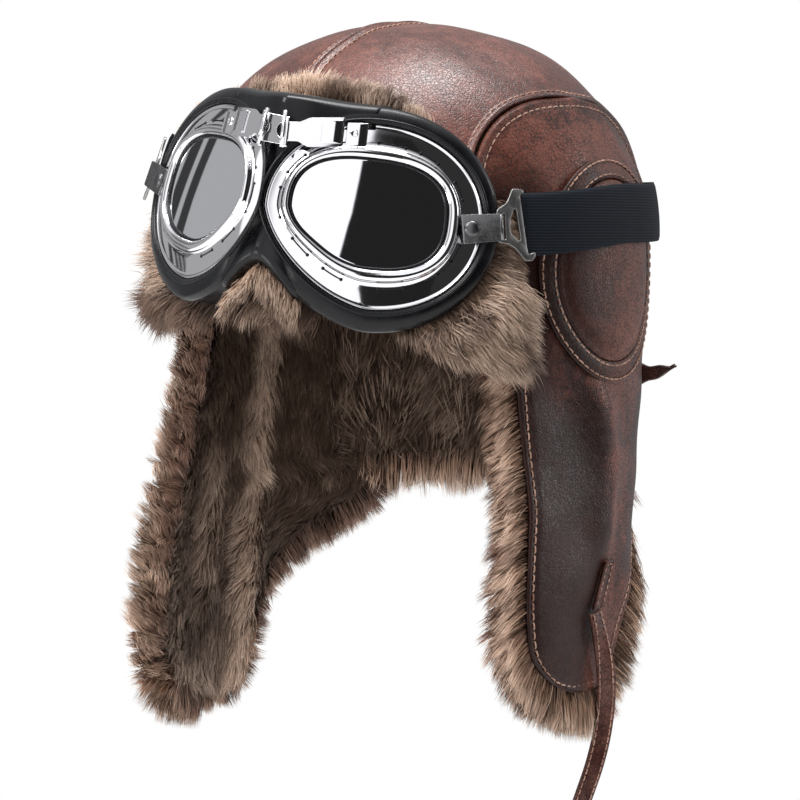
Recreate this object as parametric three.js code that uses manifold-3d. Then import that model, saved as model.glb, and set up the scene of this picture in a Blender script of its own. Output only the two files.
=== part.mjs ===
// A fur-lined leather aviator hat with ear flaps, a turned-up fur front, and goggles strapped round the
// crown. Millimetres, +Z up. The face looks along -Y and the left ear is at +X. The origin is the middle of
// the head opening at the level of the forehead band, where a head carries the hat.
import * as THREE from "three";
import { mergeVertices } from "three/addons/utils/BufferGeometryUtils.js";
import Module from "manifold-3d";

const wasm = await Module();
wasm.setup();

const degree = Math.PI / 180;
const gap = 0.3; // left between pieces that touch
const ease = 1.3; // left between curved sheets that lie on each other, where their facets could cross

// Driving dimensions of the head form, measured to the outer face of the leather
const crown = { halfWidth: 103, halfLength: 108, height: 93.5, roundness: 2.1, browRoundness: 0.05 };
const nape = { tuck: 0.15, depth: 105 }; // the wall draws in behind the neck
const leather = 1.6;
const furDepth = 14; // pile and backing inside the leather
// The seam that runs over each ear
const sideArch = { middle: -2, reach: 70, foot: -5, top: 58, squareness: 2.7 };
const flapSeam = -33; // level where an ear flap is sewn to the side panel
const brow = { level: -26, drop: 6.5 }; // front hem, lower towards the temples
const furLocks = { wide: 6, deep: 3.2, overhang: 11 };
const rightFlap = { drop: 14, rear: 11 }; // it hangs lower, and is narrower behind, in degrees

// Ear flap outline, from the seam down: level, then the front and rear edges as degrees round from the front
const flapRows = [
  { level: -33, front: 57, rear: 128 },
  { level: -54, front: 58.5, rear: 128.5 },
  { level: -72, front: 58, rear: 129 },
  { level: -112, front: 56, rear: 129 },
  { level: -130, front: 53.5, rear: 116 },
  { level: -147, front: 51.5, rear: 104 },
  { level: -163, front: 51, rear: 96 },
  { level: -177, front: 52.5, rear: 90.5 },
  { level: -188, front: 59, rear: 86 },
  { level: -194, front: 67, rear: 82 },
  { level: -196, front: 72, rear: 77 },
];

// The flaps' front edges stand out, and the whole flap hangs a little outwards
const flare = { most: 22, from: 90, over: 42, start: -20, full: -150, hang: 5 };

// Turned-up fur front: its fold and its top edge, by degrees from the middle
const frontRows = [
  { turn: -57, fold: -38, top: -8 },
  { turn: -52, fold: -41, top: 7 },
  { turn: -46, fold: -42, top: 28 },
  { turn: -40, fold: -40, top: 42 },
  { turn: -28, fold: -34, top: 53 },
  { turn: 0, fold: -28, top: 60 },
  { turn: 28, fold: -36, top: 54 },
  { turn: 40, fold: -44, top: 42 },
  { turn: 48, fold: -48, top: 28 },
  { turn: 55, fold: -50, top: 4 },
  { turn: 62, fold: -48, top: -16 },
];
const frontFur = { thick: 15, pressed: 5 };

// Goggles: two hinged halves, turned and tilted a little on the crown as they were put on
const goggles = { apart: 40.5, forward: 117, height: 12.5, splay: 32, lean: 9, roll: 8, turn: 8 };
// squareness 1 is an ellipse and less is squarer; cut takes off the lower corner beside the nose
const lensSize = { wide: 33, high: 22.8, x: -2.6, y: 0.5, squareness: 0.76, cut: 0.18 };
const plateSize = { wide: 45, high: 37.8, x: 0, y: -0.5, squareness: 0.97, cut: 0.11 };
const padRim = { side: 7.5, top: 7.5, bottom: 9.5 }; // how far the pad stands out round a plate
const nosePiece = { low: -20, high: 43, reach: 26 };
const plateSeat = 0.6; // room round a plate in its seat
const padSeat = 8.5; // its height over the leather, on the pressed fur
const plateSlots = { count: 12, long: 6, wide: 1.3, out: 0.42 };

const earOval = { y: 2, z: -16.5, wide: 47, high: 48.5, band: 9, ease: 0.9, rise: 1.2, pad: 2.4 };
const band = { wide: 24.5, thick: 1.5, level: 8, backRise: 6 };
const tie = { wide: 8.5, thick: 1.8, turn: 80, tabTurn: 78, tabLean: 7, top: -141, sewn: -161 };
const napeStrap = { wide: 11, thick: 1.8, level: -65, from: 128, to: 232 };

const smooth = (from, to, x) => {
  const t = Math.min(1, Math.max(0, (x - from) / (to - from)));
  return t * t * (3 - 2 * t);
};
const mix = (a, b, t) => a + (b - a) * t;

// Reads a column of a table at x, along a smooth curve through its rows
function read(rows, key, column, x) {
  const rising = rows[1][key] > rows[0][key] ? 1 : -1;
  let i = rows.findIndex((row) => rising * row[key] > rising * x);
  if (i < 0) i = rows.length - 1;
  i = Math.max(1, i);
  const [a, b] = [rows[i - 1], rows[i]];
  const [before, after] = [rows[Math.max(0, i - 2)], rows[Math.min(rows.length - 1, i + 1)]];
  const span = b[key] - a[key];
  const t = Math.min(1, Math.max(0, (x - a[key]) / span));
  const slopeA = ((b[column] - before[column]) / (b[key] - before[key] || 1)) * span;
  const slopeB = ((after[column] - a[column]) / (after[key] - a[key] || 1)) * span;
  const [t2, t3] = [t * t, t * t * t];
  const ends = a[column] * (2 * t3 - 3 * t2 + 1) + b[column] * (3 * t2 - 2 * t3);
  return ends + slopeA * (t3 - 2 * t2 + t) + slopeB * (t3 - t2);
}

// The head form

const roundness = (turn) => crown.roundness + crown.browRoundness * Math.cos(turn);

// How wide the form is at a level, as a share of its widest
function share(turn, level) {
  if (level >= 0) {
    const n = roundness(turn);
    return Math.max(0, 1 - (level / crown.height) ** n) ** (1 / n);
  }
  const behind = ((1 - Math.cos(turn)) / 2) ** 4;
  return 1 - nape.tuck * behind * Math.min(1.6, (level / nape.depth) ** 2);
}

// A point of the outer leather wall: turn in radians from the front towards the left ear
function wall(turn, level) {
  const s = share(turn, level);
  const fromFront = Math.abs(turn) / degree;
  const most = Math.max(0, (flare.from - fromFront) / flare.over) ** 1.5 * flare.most;
  const out = most * smooth(flare.start, flare.full, level) * smooth(8, 35, fromFront);
  const hang = flare.hang * smooth(-60, -180, level) * smooth(125, 95, fromFront);
  const x = crown.halfWidth * s * Math.sin(turn) + Math.sign(Math.sin(turn)) * (out + hang);
  return new THREE.Vector3(x, -crown.halfLength * s * Math.cos(turn), level);
}

function onWall(turn, level, out = 0) {
  const [h, v] = [0.5 * degree, 0.5];
  const p = wall(turn, level);
  const around = wall(turn + h, level).sub(wall(turn - h, level));
  const up = wall(turn, level + v).sub(wall(turn, level - v));
  return p.addScaledVector(around.cross(up).normalize(), out);
}

// 1 on the leather's outer face, less inside and more outside
function gauge(p) {
  const turn = Math.atan2(p.x / crown.halfWidth, -p.y / crown.halfLength);
  if (p.z < 0) {
    const q = wall(turn, p.z);
    return Math.hypot(p.x, p.y) / Math.hypot(q.x, q.y);
  }
  const n = roundness(turn);
  const flat = Math.hypot(p.x / crown.halfWidth, p.y / crown.halfLength);
  return (flat ** n + (p.z / crown.height) ** n) ** (1 / n);
}

// Carries a point straight onto the form, then out along its normal
function onForm(p, out = 0) {
  const turn = Math.atan2(p.x / crown.halfWidth, -p.y / crown.halfLength);
  if (p.z < 0) return onWall(turn, p.z, out);
  const q = p.clone().divideScalar(gauge(p));
  const step = 0.05;
  const slope = (axis) => {
    const [a, b] = [q.clone(), q.clone()];
    a[axis] += step;
    b[axis] -= step;
    return gauge(a) - gauge(b);
  };
  const normal = new THREE.Vector3(slope("x"), slope("y"), q.z > step ? slope("z") : 0).normalize();
  return q.addScaledVector(normal, out);
}

// How far a point stands off the leather
function standOff(p) {
  const g = gauge(p);
  return (p.z < 0 ? Math.hypot(p.x, p.y) : p.length()) * (1 - 1 / g);
}

// The wall's turn at a given distance behind the middle, on the left side
function turnAt(y, level) {
  let turn = Math.PI / 2;
  for (let i = 0; i < 4; i++) {
    const cosine = -y / (crown.halfLength * share(turn, level));
    turn = Math.acos(Math.max(-1, Math.min(1, cosine)));
  }
  return turn;
}

// Building solids

// A geometry as one closed solid, with its faces turned outwards
function closed(geometry) {
  for (const name of ["normal", "uv"]) geometry.deleteAttribute(name);
  const merged = mergeVertices(geometry, 1e-3);
  const { array } = merged.attributes.position;
  const triangles = Array.from(merged.index.array);
  const kept = [];
  let volume = 0;
  for (let i = 0; i < triangles.length; i += 3) {
    const [a, b, c] = triangles.slice(i, i + 3);
    if (a === b || b === c || a === c) continue;
    kept.push(a, b, c);
    const [p, q, r] = [a, b, c].map((k) => new THREE.Vector3().fromArray(array, 3 * k));
    volume += p.dot(q.cross(r));
  }
  if (volume < 0) kept.reverse();
  const triVerts = new Uint32Array(kept);
  return new wasm.Manifold(new wasm.Mesh({ numProp: 3, vertProperties: array, triVerts }));
}

function moved(geometry, place) {
  const { position } = geometry.attributes;
  for (let i = 0; i < position.count; i++) {
    const p = place(new THREE.Vector3().fromBufferAttribute(position, i));
    position.setXYZ(i, p.x, p.y, p.z);
  }
  return geometry;
}

// A bent sheet: u and v run over it and w through it, each from 0 to 1
function sheet(across, along, place, through = 1) {
  const box = new THREE.BoxGeometry(1, 1, 1, across, along, through);
  return closed(moved(box, (p) => place(p.x + 0.5, p.y + 0.5, p.z + 0.5)));
}

// A round body or ring: a profile of (out, up) pairs turned about an axis, each point then placed
function turned(profile, sides, place) {
  const points = profile.map(([out, up]) => new THREE.Vector2(out, up));
  const lathe = new THREE.LatheGeometry(points, sides);
  return closed(moved(lathe, (p) => place(Math.atan2(p.z, p.x), Math.hypot(p.x, p.z), p.y)));
}

function box(wide, deep, high, place) {
  return closed(moved(new THREE.BoxGeometry(wide, deep, high), place));
}

function mesh(name, solid, material) {
  const { vertProperties, triVerts, numProp, numVert } = solid.getMesh();
  const positions = new Float32Array(numVert * 3);
  for (let i = 0; i < numVert; i++) {
    positions.set(vertProperties.subarray(i * numProp, i * numProp + 3), i * 3);
  }
  const geometry = new THREE.BufferGeometry();
  geometry.setAttribute("position", new THREE.BufferAttribute(positions, 3));
  geometry.setIndex(new THREE.BufferAttribute(triVerts, 1));
  const made = new THREE.Mesh(geometry, material);
  made.name = name;
  return made;
}

const finish = (color, roughness, metalness = 0) => {
  return new THREE.MeshStandardMaterial({ color, roughness, metalness });
};
const brownLeather = finish(0x5a2f25, 0.45);
const brownFur = finish(0x6b5243, 0.95);
const blackRubber = finish(0x17191d, 0.4);
const chrome = finish(0xd9dade, 0.08, 1);
const mirrorLens = finish(0x2a2c30, 0.03, 0.9);
const blackElastic = finish(0x15171e, 0.9);

const mirrored = (side, p) => new THREE.Vector3(side * p.x, p.y, p.z);
const sideName = (side) => (side > 0 ? "left" : "right");
const lowered = (side, p) => {
  if (side < 0) p.z -= rightFlap.drop * smooth(-60, -187, p.z);
  return p;
};

// How far a flap's rear edge is drawn forward of the table, in degrees
function drawnIn(side, level) {
  return side > 0 ? 0 : rightFlap.rear * smooth(-110, -140, level) * smooth(-199, -175, level);
}

// Leather crown: two panels that meet along the middle and run from the brow over the top to the nape

// The middle line and the side arch, both followed from the front hem (0) to the nape hem (1)
const reaches = { brow: 0.12, back: 0.7 };
function alongSeams(s) {
  const n = 2 / roundness(0);
  if (s < reaches.brow) {
    const t = s / reaches.brow;
    return {
      middle: new THREE.Vector3(0, -crown.halfLength, mix(brow.level, 0, t)),
      arch: { y: sideArch.middle - sideArch.reach, z: mix(brow.level - brow.drop, sideArch.foot, t) },
    };
  }
  if (s > reaches.back) {
    const t = (s - reaches.back) / (1 - reaches.back);
    return {
      middle: new THREE.Vector3(0, crown.halfLength, mix(0, -104, t)),
      arch: { y: sideArch.middle + sideArch.reach, z: mix(sideArch.foot, -112, t) },
    };
  }
  const a = ((s - reaches.brow) / (reaches.back - reaches.brow)) * Math.PI;
  const power = (v, e) => Math.sign(v) * Math.abs(v) ** e;
  const m = 2 / sideArch.squareness;
  const [y, z] = [-crown.halfLength * power(Math.cos(a), n), crown.height * power(Math.sin(a), n)];
  return {
    middle: new THREE.Vector3(0, y, z),
    arch: {
      y: sideArch.middle - sideArch.reach * power(Math.cos(a), m),
      z: sideArch.foot + (sideArch.top - sideArch.foot) * power(Math.sin(a), m),
    },
  };
}

function archPoint({ y, z }) {
  return wall(turnAt(y, z), z);
}

function crownPanel(side) {
  return sheet(6, 22, (u, v, w) => {
    const { middle, arch } = alongSeams(v);
    const edge = archPoint(arch);
    const room = gap / 2 / Math.max(20, edge.distanceTo(middle));
    const p = middle.clone().lerp(edge, mix(room, 1 - room, u));
    if (u === 0) p.x = gap / 2;
    return mirrored(side, onForm(p, -leather * (1 - w)));
  });
}

function sidePanel(side) {
  return sheet(12, 5, (u, v, w) => {
    const s = mix(reaches.brow, reaches.back, u);
    const { arch } = alongSeams(s);
    const shrink = 1 - (2 * gap) / sideArch.reach;
    const y = sideArch.middle + (arch.y - sideArch.middle) * shrink;
    const z = mix(flapSeam + gap, sideArch.foot + (arch.z - sideArch.foot) * shrink, v);
    return mirrored(side, onWall(turnAt(y, z), z, -leather * (1 - w)));
  });
}

const flapLevels = { steps: 12 };
// Levels close up towards the rounded tip
const flapLevel = (v, low) => mix(flapSeam - gap, low, Math.sin((v * Math.PI) / 2) ** 1.25);

function earFlap(side) {
  const low = flapRows.at(-1).level;
  return sheet(8, flapLevels.steps, (u, v, w) => {
    const level = flapLevel(v, low);
    const clear = level > -112 ? gap / 2 : 0;
    const front = read(flapRows, "level", "front", level);
    const rear = read(flapRows, "level", "rear", level) - clear - drawnIn(side, level);
    return lowered(side, mirrored(side, onWall(mix(front, rear, u) * degree, level, -leather * (1 - w))));
  });
}

// Fur: pile that stands in locks, as waves over a wall's free face and along its edge

const lock = (along) => furLocks.deep * (0.5 + 0.5 * Math.cos((along / furLocks.wide) * Math.PI));

// The hem of the lining round the head, by turn in degrees from the front
const hemRows = [
  { turn: 0, level: -27 },
  { turn: 30, level: -30 },
  { turn: 46, level: -31 },
  { turn: 62, level: -31 },
  { turn: 108, level: -31 },
  { turn: 114, level: -104 },
  { turn: 120, level: -107 },
  { turn: 135, level: -109 },
  { turn: 180, level: -106 },
];

function crownLining() {
  const rows = 7;
  const profile = [];
  for (let i = 0; i <= rows; i++) profile.push([Math.sin((i / rows) * 90 * degree), 1 + i / rows]);
  for (let i = rows; i >= 0; i--) profile.push([Math.sin((i / rows) * 90 * degree), -1 - i / rows]);
  profile[0][0] = 0;
  profile.at(-1)[0] = 0;
  const sides = 40;
  return turned(profile, sides, (angle, out, up) => {
    const turn = Math.atan2(Math.cos(angle), -Math.sin(angle));
    const down = Math.abs(up) - 1;
    const fromFront = Math.abs(turn) / degree;
    const odd = Math.round((angle / (2 * Math.PI)) * sides) % 2 ? 1 : 0;
    const hem = read(hemRows, "turn", "level", fromFront) - odd * furLocks.deep * smooth(0.9, 1, down);
    const depth = up > 0 ? -leather - ease : -leather - furDepth - odd * 2;
    const domeShare = 0.55;
    if (down < domeShare) {
      const tilt = (down / domeShare) * 90 * degree;
      const p = new THREE.Vector3(Math.sin(turn), -Math.cos(turn), 0).multiplyScalar(Math.sin(tilt));
      p.multiply(new THREE.Vector3(crown.halfWidth, crown.halfLength, 1));
      p.z = crown.height * Math.cos(tilt);
      return onForm(p, depth);
    }
    return onWall(turn, mix(0, hem, (down - domeShare) / (1 - domeShare)) - 0.01, depth);
  });
}

const liningSteps = 14;
function flapLining(side) {
  const reach = (furLocks.overhang / crown.halfLength / degree) | 0;
  const low = flapRows.at(-1).level - furLocks.overhang;
  const scale = (low - flapSeam) / (flapRows.at(-1).level - flapSeam);
  return sheet(9, liningSteps, (u, v, w) => {
    const level = flapLevel(v, low) - 3;
    const row = flapSeam + (level - flapSeam) / scale;
    const v2 = Math.round(v * liningSteps) % 2;
    const edge = 2.5 * v2 * Math.abs(2 * u - 1) ** 6;
    const front = read(flapRows, "level", "front", row) - reach - edge;
    const besideNape = level > -117.5;
    const free = read(flapRows, "level", "rear", row) + reach + edge - drawnIn(side, row);
    const rear = besideNape ? 102.5 : free;
    const turn = mix(front, rear, u);
    const body = Math.min(1, 4.5 * (1 - Math.abs(2 * u - 1)) + 0.45) * Math.min(1, 5 * (1 - v) + 0.4);
    const pile = furDepth * body + lock(turn * 1.9 + level * 0.35) * 0.8 * body;
    const slack = 2 * smooth(0.3, 0.8, u) * smooth(-95, -115, level) * smooth(-190, -170, level);
    const depth = leather + ease + slack + pile * (1 - w);
    return lowered(side, mirrored(side, onWall(turn * degree, level, -depth)));
  });
}

// Goggle halves: x runs outwards, y up and h out of the plate's face

function onGoggles(side, x, y, h) {
  const [splay, lean] = [goggles.splay * degree, goggles.lean * degree];
  const face = new THREE.Vector3(Math.sin(splay), -Math.cos(splay), 0);
  const up = new THREE.Vector3(0, 0, Math.cos(lean)).addScaledVector(face, -Math.sin(lean));
  const normal = face.clone().multiplyScalar(Math.cos(lean)).add(new THREE.Vector3(0, 0, Math.sin(lean)));
  const out = new THREE.Vector3(Math.cos(splay), Math.sin(splay), 0);
  const p = new THREE.Vector3(goggles.apart, -goggles.forward, 0);
  p.addScaledVector(out, x).addScaledVector(up, y).addScaledVector(normal, h);
  p.x *= side;
  p.applyAxisAngle(new THREE.Vector3(0, 1, 0), goggles.roll * degree);
  p.applyAxisAngle(new THREE.Vector3(0, 0, 1), goggles.turn * degree);
  p.z += goggles.height;
  return p;
}

// A rounded oval, seen from the front: 0 points away from the nose and t scales it about its middle
function oval(size, angle, t = 1) {
  const [c, n] = [Math.cos(angle), Math.sin(angle)];
  const power = (v) => Math.sign(v) * Math.abs(v) ** size.squareness;
  const cut = 1 - size.cut * 2 * Math.max(0, -c) * Math.max(0, -n);
  return [size.x + size.wide * t * cut * power(c), size.y + size.high * t * cut * power(n)];
}

function between(inner, outer, angle, t) {
  const [a, b] = [oval(inner, angle), oval(outer, angle)];
  return [mix(a[0], b[0], t), mix(a[1], b[1], t)];
}

// How deep below the plate the pad's back lies, where it meets the fur
function padBack(side, x, y, seat) {
  let [near, far] = [0, -70];
  for (let i = 0; i < 24; i++) {
    const middle = (near + far) / 2;
    if (standOff(onGoggles(side, x, y, middle)) > seat) near = middle;
    else far = middle;
  }
  return Math.min(far, -7);
}

// The pad's outline: the plate's own up to 1, then out over its rim to 2, narrow beside the nose
function padOutline(angle, t) {
  const [x, y] = oval(plateSize, angle);
  if (t <= 1) return oval(plateSize, angle, t);
  const noseward = smooth(-0.55, -0.95, Math.cos(angle));
  const rim = mix(padRim.side, Math.sin(angle) > 0 ? padRim.top : padRim.bottom, Math.sin(angle) ** 2);
  const reach = mix(rim, 1.4, noseward);
  const out = mix(plateSeat, reach, t - 1);
  return [x + out * Math.cos(angle), y + out * Math.sin(angle)];
}

function gogglePad() {
  const rows = [
    // share of the outline, and height above the plate
    { t: 0, h: -3.8 },
    { t: 1, h: -3.8 },
    { t: 1.001, h: -3.8 },
    { t: 1.08, h: -0.6 },
    { t: 1.45, h: -1.2 },
    { t: 2, h: -5.5 },
  ];
  const half = (side) => {
    const front = rows.map(({ t, h }) => [t, h + 100]);
    const back = [1.8, 1, 0.5, 0].map((t) => [t, -100]);
    return turned([...front, ...back], 28, (angle, t, up) => {
      const [x, y] = padOutline(angle, t);
      if (up > 0) return onGoggles(side, x, y, up - 100);
      return onGoggles(side, x, y, padBack(side, x, y, padSeat));
    });
  };
  // The nose piece joins the halves above and beside the notch
  const nose = sheet(6, 4, (u, v, w) => {
    const side = u < 0.5 ? -1 : 1;
    const x = -(goggles.apart / Math.cos(goggles.splay * degree)) + Math.abs(u - 0.5) * 2 * nosePiece.reach;
    const y = mix(nosePiece.low, nosePiece.high, v);
    const back = padBack(side, x, y, padSeat + 6);
    const front = u === 0.5 ? -4.2 : -6.5;
    const p = onGoggles(side, x, y, mix(back, front, w));
    return u === 0.5 ? p.lerp(onGoggles(-side, x, y, mix(back, front, w)), 0.5) : p;
  });
  // Each half stops short of the middle, and the nose piece fills between them
  const middle = onGoggles(1, 0, 0, 0).add(onGoggles(-1, 0, 0, 0)).divideScalar(2);
  const outward = (side) => onGoggles(side, 0, 0, 0).sub(middle).normalize();
  const trimmed = (side) => half(side).trimByPlane(outward(side).toArray(), outward(side).dot(middle) + 0.5);
  return trimmed(1).add(trimmed(-1)).add(nose);
}

function plateHeight(t) {
  return mix(0.6, -2.2, t ** 1.5);
}

function gogglePlate(side) {
  const profile = [
    [0, -1],
    [0, 1.9],
    [0.1, 3.1],
    [0.22, 3.1],
    [0.33, 1.6],
    [0.36, plateHeight(0.36)],
    [0.7, plateHeight(0.7)],
    [1, plateHeight(1)],
    [1, -3.2],
    [0.4, -1.2],
    [0, -1],
  ];
  const ring = turned(
    profile.map(([t, h]) => [1 + t, h]),
    28,
    (angle, out, h) => {
      const [x, y] = between(lensSize, plateSize, angle, out - 1);
      return onGoggles(side, x, y, h);
    },
  );
  let plate = ring;
  for (let i = 0; i < plateSlots.count; i++) {
    const angle = ((i + 0.5) / plateSlots.count) * 2 * Math.PI;
    if (Math.abs(Math.cos(angle)) > 0.93 && Math.cos(angle) > 0) continue; // under the side bracket
    const [x, y] = between(lensSize, plateSize, angle, plateSlots.out + 0.15);
    const [ahead] = [between(lensSize, plateSize, angle + 0.05, plateSlots.out + 0.15)];
    const lie = Math.atan2(ahead[1] - y, ahead[0] - x);
    const cutter = box(plateSlots.long, plateSlots.wide, 8, (p) => {
      const [c, s] = [Math.cos(lie), Math.sin(lie)];
      return onGoggles(side, x + p.x * c - p.y * s, y + p.x * s + p.y * c, p.z - 1);
    });
    plate = plate.subtract(cutter);
  }
  return plate;
}

function lens(side) {
  const size = { ...lensSize, wide: lensSize.wide - gap, high: lensSize.high - gap };
  const profile = [
    [0, 1.9],
    [0.55, 1.6],
    [0.93, 1],
    [1, 0.7],
    [1, -0.6],
    [0, -0.6],
  ];
  return turned(profile, 28, (angle, t, h) => {
    const [x, y] = oval(size, angle, t);
    return onGoggles(side, x, y, h);
  });
}

// A thin plate cut from an outline, laid out by a placing function
function stamped(points, holes, thick, place) {
  const shape = new THREE.Shape(points.map(([x, y]) => new THREE.Vector2(x, y)));
  shape.holes = holes.map((hole) => new THREE.Path(hole.map(([x, y]) => new THREE.Vector2(x, y))));
  return closed(moved(new THREE.ExtrudeGeometry(shape, { depth: thick, bevelEnabled: false }), place));
}

// Bridge: a riveted plate on each half, and a hinged link between them
const bridge = { y: 32, high: 9, inner: -40.5, outer: -5, thick: 1.4 };

function bridgePlate(side) {
  const [low, high] = [bridge.y - bridge.high / 2, bridge.y + bridge.high / 2];
  const waist = 2.2;
  const outline = [
    [bridge.inner, low],
    [-32, low],
    [-29, low + waist],
    [-25, low + waist],
    [-22, low],
    [bridge.outer, low + 0.6],
    [bridge.outer, high - 1.6],
    [-22, high],
    [-25, high - 0.6],
    [-29, high - 0.6],
    [-32, high],
    [bridge.inner, high],
  ];
  const place = (p) => onGoggles(side, p.x, p.y, 1.6 + p.z - 0.045 * (p.x + 9) * 0.5);
  const plate = stamped(outline, [], bridge.thick, place);
  const step = stamped(
    [
      [-23, low + 0.9],
      [-13.5, low + 0.9],
      [-13.5, high - 1.2],
      [-23, high - 0.9],
    ],
    [],
    bridge.thick + 1.1,
    place,
  );
  return plate.add(step);
}

function bridgeLink() {
  const hinge = { x: bridge.inner - 1.4, h: 3.2, radius: 1.1, over: 1.4 };
  const half = bridge.high / 2;
  const profile = [
    [0, -half - hinge.over],
    [hinge.radius, -half - hinge.over],
    [hinge.radius, half + hinge.over],
    [0, half + hinge.over],
  ];
  const pin = (side) =>
    turned(profile, 8, (angle, out, up) => {
      const [x, h] = [hinge.x + out * Math.cos(angle), hinge.h + out * Math.sin(angle)];
      return onGoggles(side, x, bridge.y + up, h);
    });
  const strip = sheet(1, 1, (u, v, w) => {
    const y = bridge.y + mix(0.5 - half, half - 0.5, v);
    const h = hinge.h + w - 0.5;
    return onGoggles(-1, hinge.x, y, h).lerp(onGoggles(1, hinge.x, y, h), u);
  });
  return strip.add(pin(1)).add(pin(-1));
}

// Side brackets: a riveted tab on the plate, a stamped buckle and the elastic band. The tab is turned up a
// little about its rivet, against the roll of the goggles.
const bracket = { x: 40.5, y: -0.8, turn: 9, high: 12, from: -4.3, to: 12.4, h: 0.9, thick: 1.3 };
const buckle = { turn: 24, start: 10.5, thick: 1.2 };

function onBracket(side, x, y, h) {
  const [c, n] = [Math.cos(bracket.turn * degree), Math.sin(bracket.turn * degree)];
  return onGoggles(side, bracket.x + x * c - y * n, bracket.y + x * n + y * c, h);
}

function bracketTab(side) {
  const [low, high] = [-bracket.high / 2, bracket.high / 2];
  const outline = [
    [bracket.from + 0.6, low],
    [bracket.to, low + 0.6],
    [bracket.to, high - 0.2],
    [bracket.from, high],
  ];
  return stamped(outline, [], bracket.thick, (p) => onBracket(side, p.x, p.y, bracket.h + p.z));
}

function rivet(side) {
  const h = bracket.h + bracket.thick + gap;
  const profile = [
    [0, h],
    [3.2, h],
    [3.2, h + 0.7],
    [2.2, h + 1.5],
    [0, h + 1.8],
  ];
  return turned(profile, 14, (angle, out, up) => {
    return onBracket(side, out * Math.cos(angle), out * Math.sin(angle), up);
  });
}

// The buckle bends back from the plate to follow the temple
function onBuckle(side, x, y, h) {
  const [c, n] = [Math.cos(buckle.turn * degree), Math.sin(buckle.turn * degree)];
  return onBracket(side, buckle.start + x * c + h * n, y, bracket.h - gap - buckle.thick + h * c - x * n);
}

function buckleFrame(side) {
  const outline = [
    [0, -5.8],
    [5, -6.6],
    [8.2, -8.3],
    [11.8, -12.5],
    [13.2, -13.6],
    [16.5, -13.6],
    [18, -11.5],
    [17.6, -9.8],
    [16.2, -10.4],
    [14.6, -11],
    [13.9, -9],
    [11.4, 14],
    [13.6, 14.6],
    [13, 16.2],
    [7.8, 16.4],
    [6.9, 14.2],
    [4.8, 10.3],
    [1.5, 8.6],
    [0, 7.4],
  ];
  const slot = [
    [2.6, -4.6],
    [2.6, 6],
    [3.8, 6],
    [3.8, -4.6],
  ];
  const opening = [
    [8.4, 8.2],
    [6.4, 3.8],
    [6, -1.7],
    [10.2, -5.6],
    [11, -4.2],
    [9.4, 7.8],
  ];
  return stamped(outline, [slot, opening], buckle.thick, (p) => onBuckle(side, p.x, p.y, p.z));
}

// The elastic band: it leaves the back of each buckle, settles onto the leather and runs round the back,
// passing over the ear ovals
function bandEnd(side) {
  const p = onBuckle(side, 9.5, 1, -gap - band.thick - 1.6);
  const turn = Math.abs(Math.atan2(p.x / crown.halfWidth, -p.y / crown.halfLength)) / degree;
  return { turn, level: p.z, off: standOff(p) };
}

function bandLine(u, ends) {
  const turn = mix(ends[0].turn, 360 - ends[1].turn, u);
  const fromFront = turn > 180 ? 360 - turn : turn;
  const end = ends[turn > 180 ? 1 : 0];
  const settled = smooth(0, 42, fromFront - end.turn);
  const level = mix(end.level, band.level + band.backRise * smooth(100, 180, fromFront), settled);
  const overEar = 3.4 * smooth(56, 70, fromFront) * (1 - smooth(122, 134, fromFront));
  return { turn, level, off: mix(end.off, ease + overEar, settled) };
}

function elasticBand() {
  const ends = [1, -1].map(bandEnd);
  return sheet(44, 1, (u, v, w) => {
    const { turn, level, off } = bandLine(u, ends);
    const z = level + mix(-band.wide / 2, band.wide / 2, v);
    return onWall(turn * degree - (turn > 180 ? 2 * Math.PI : 0), z, off + band.thick * w);
  });
}

// Ear ovals: a flat stitched ring with a padded middle
function onEar(side, angle, out, h) {
  const wide = earOval.wide - earOval.band * (1 - out);
  const high = earOval.high - earOval.band * (1 - out);
  const y = earOval.y + wide * Math.cos(angle);
  const z = earOval.z + high * Math.sin(angle);
  return mirrored(side, onWall(turnAt(y, z), z, h));
}

function earRing(side) {
  const profile = [
    [1, earOval.ease],
    [2, earOval.ease],
    [1.98, earOval.ease + earOval.rise],
    [1.02, earOval.ease + earOval.rise],
    [1, earOval.ease],
  ];
  return turned(profile, 28, (angle, out, h) => onEar(side, angle, out - 1, h));
}

function earPad(side) {
  const reach = { wide: earOval.wide - earOval.band - gap, high: earOval.high - earOval.band - gap };
  const profile = [
    [0, earOval.ease],
    [0.33, earOval.ease],
    [0.67, earOval.ease],
    [1, earOval.ease],
    [0.98, earOval.ease + earOval.rise],
    [0.6, earOval.ease + earOval.pad],
    [0.3, earOval.ease + earOval.pad],
    [0, earOval.ease + earOval.pad],
  ];
  return turned(profile, 28, (angle, t, h) => {
    const y = earOval.y + reach.wide * t * Math.cos(angle);
    const z = earOval.z + reach.high * t * Math.sin(angle);
    return mirrored(side, onWall(turnAt(y, z), z, h));
  });
}

// How far a point lies under the pad: 1 inside its outline, falling to 0 beside it
function underPad(p) {
  let cover = 0;
  for (const side of [1, -1]) {
    const middle = onGoggles(side, 0, 0, 0);
    const axis = (x, y) => onGoggles(side, x, y, 0).sub(middle);
    const from = p.clone().sub(middle);
    const [x, y] = [from.dot(axis(1, 0)), from.dot(axis(0, 1))];
    const nose = -goggles.apart / Math.cos(goggles.splay * degree);
    const beside = Math.max(Math.abs(x - nose) - nosePiece.reach, nosePiece.low - y, y - nosePiece.high);
    const round = Math.hypot(x / (plateSize.wide + padRim.side), y / (plateSize.high + padRim.bottom));
    cover = Math.max(cover, 1 - smooth(1.14, 1.45, round), 1 - smooth(4, 16, beside));
  }
  return cover;
}

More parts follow.
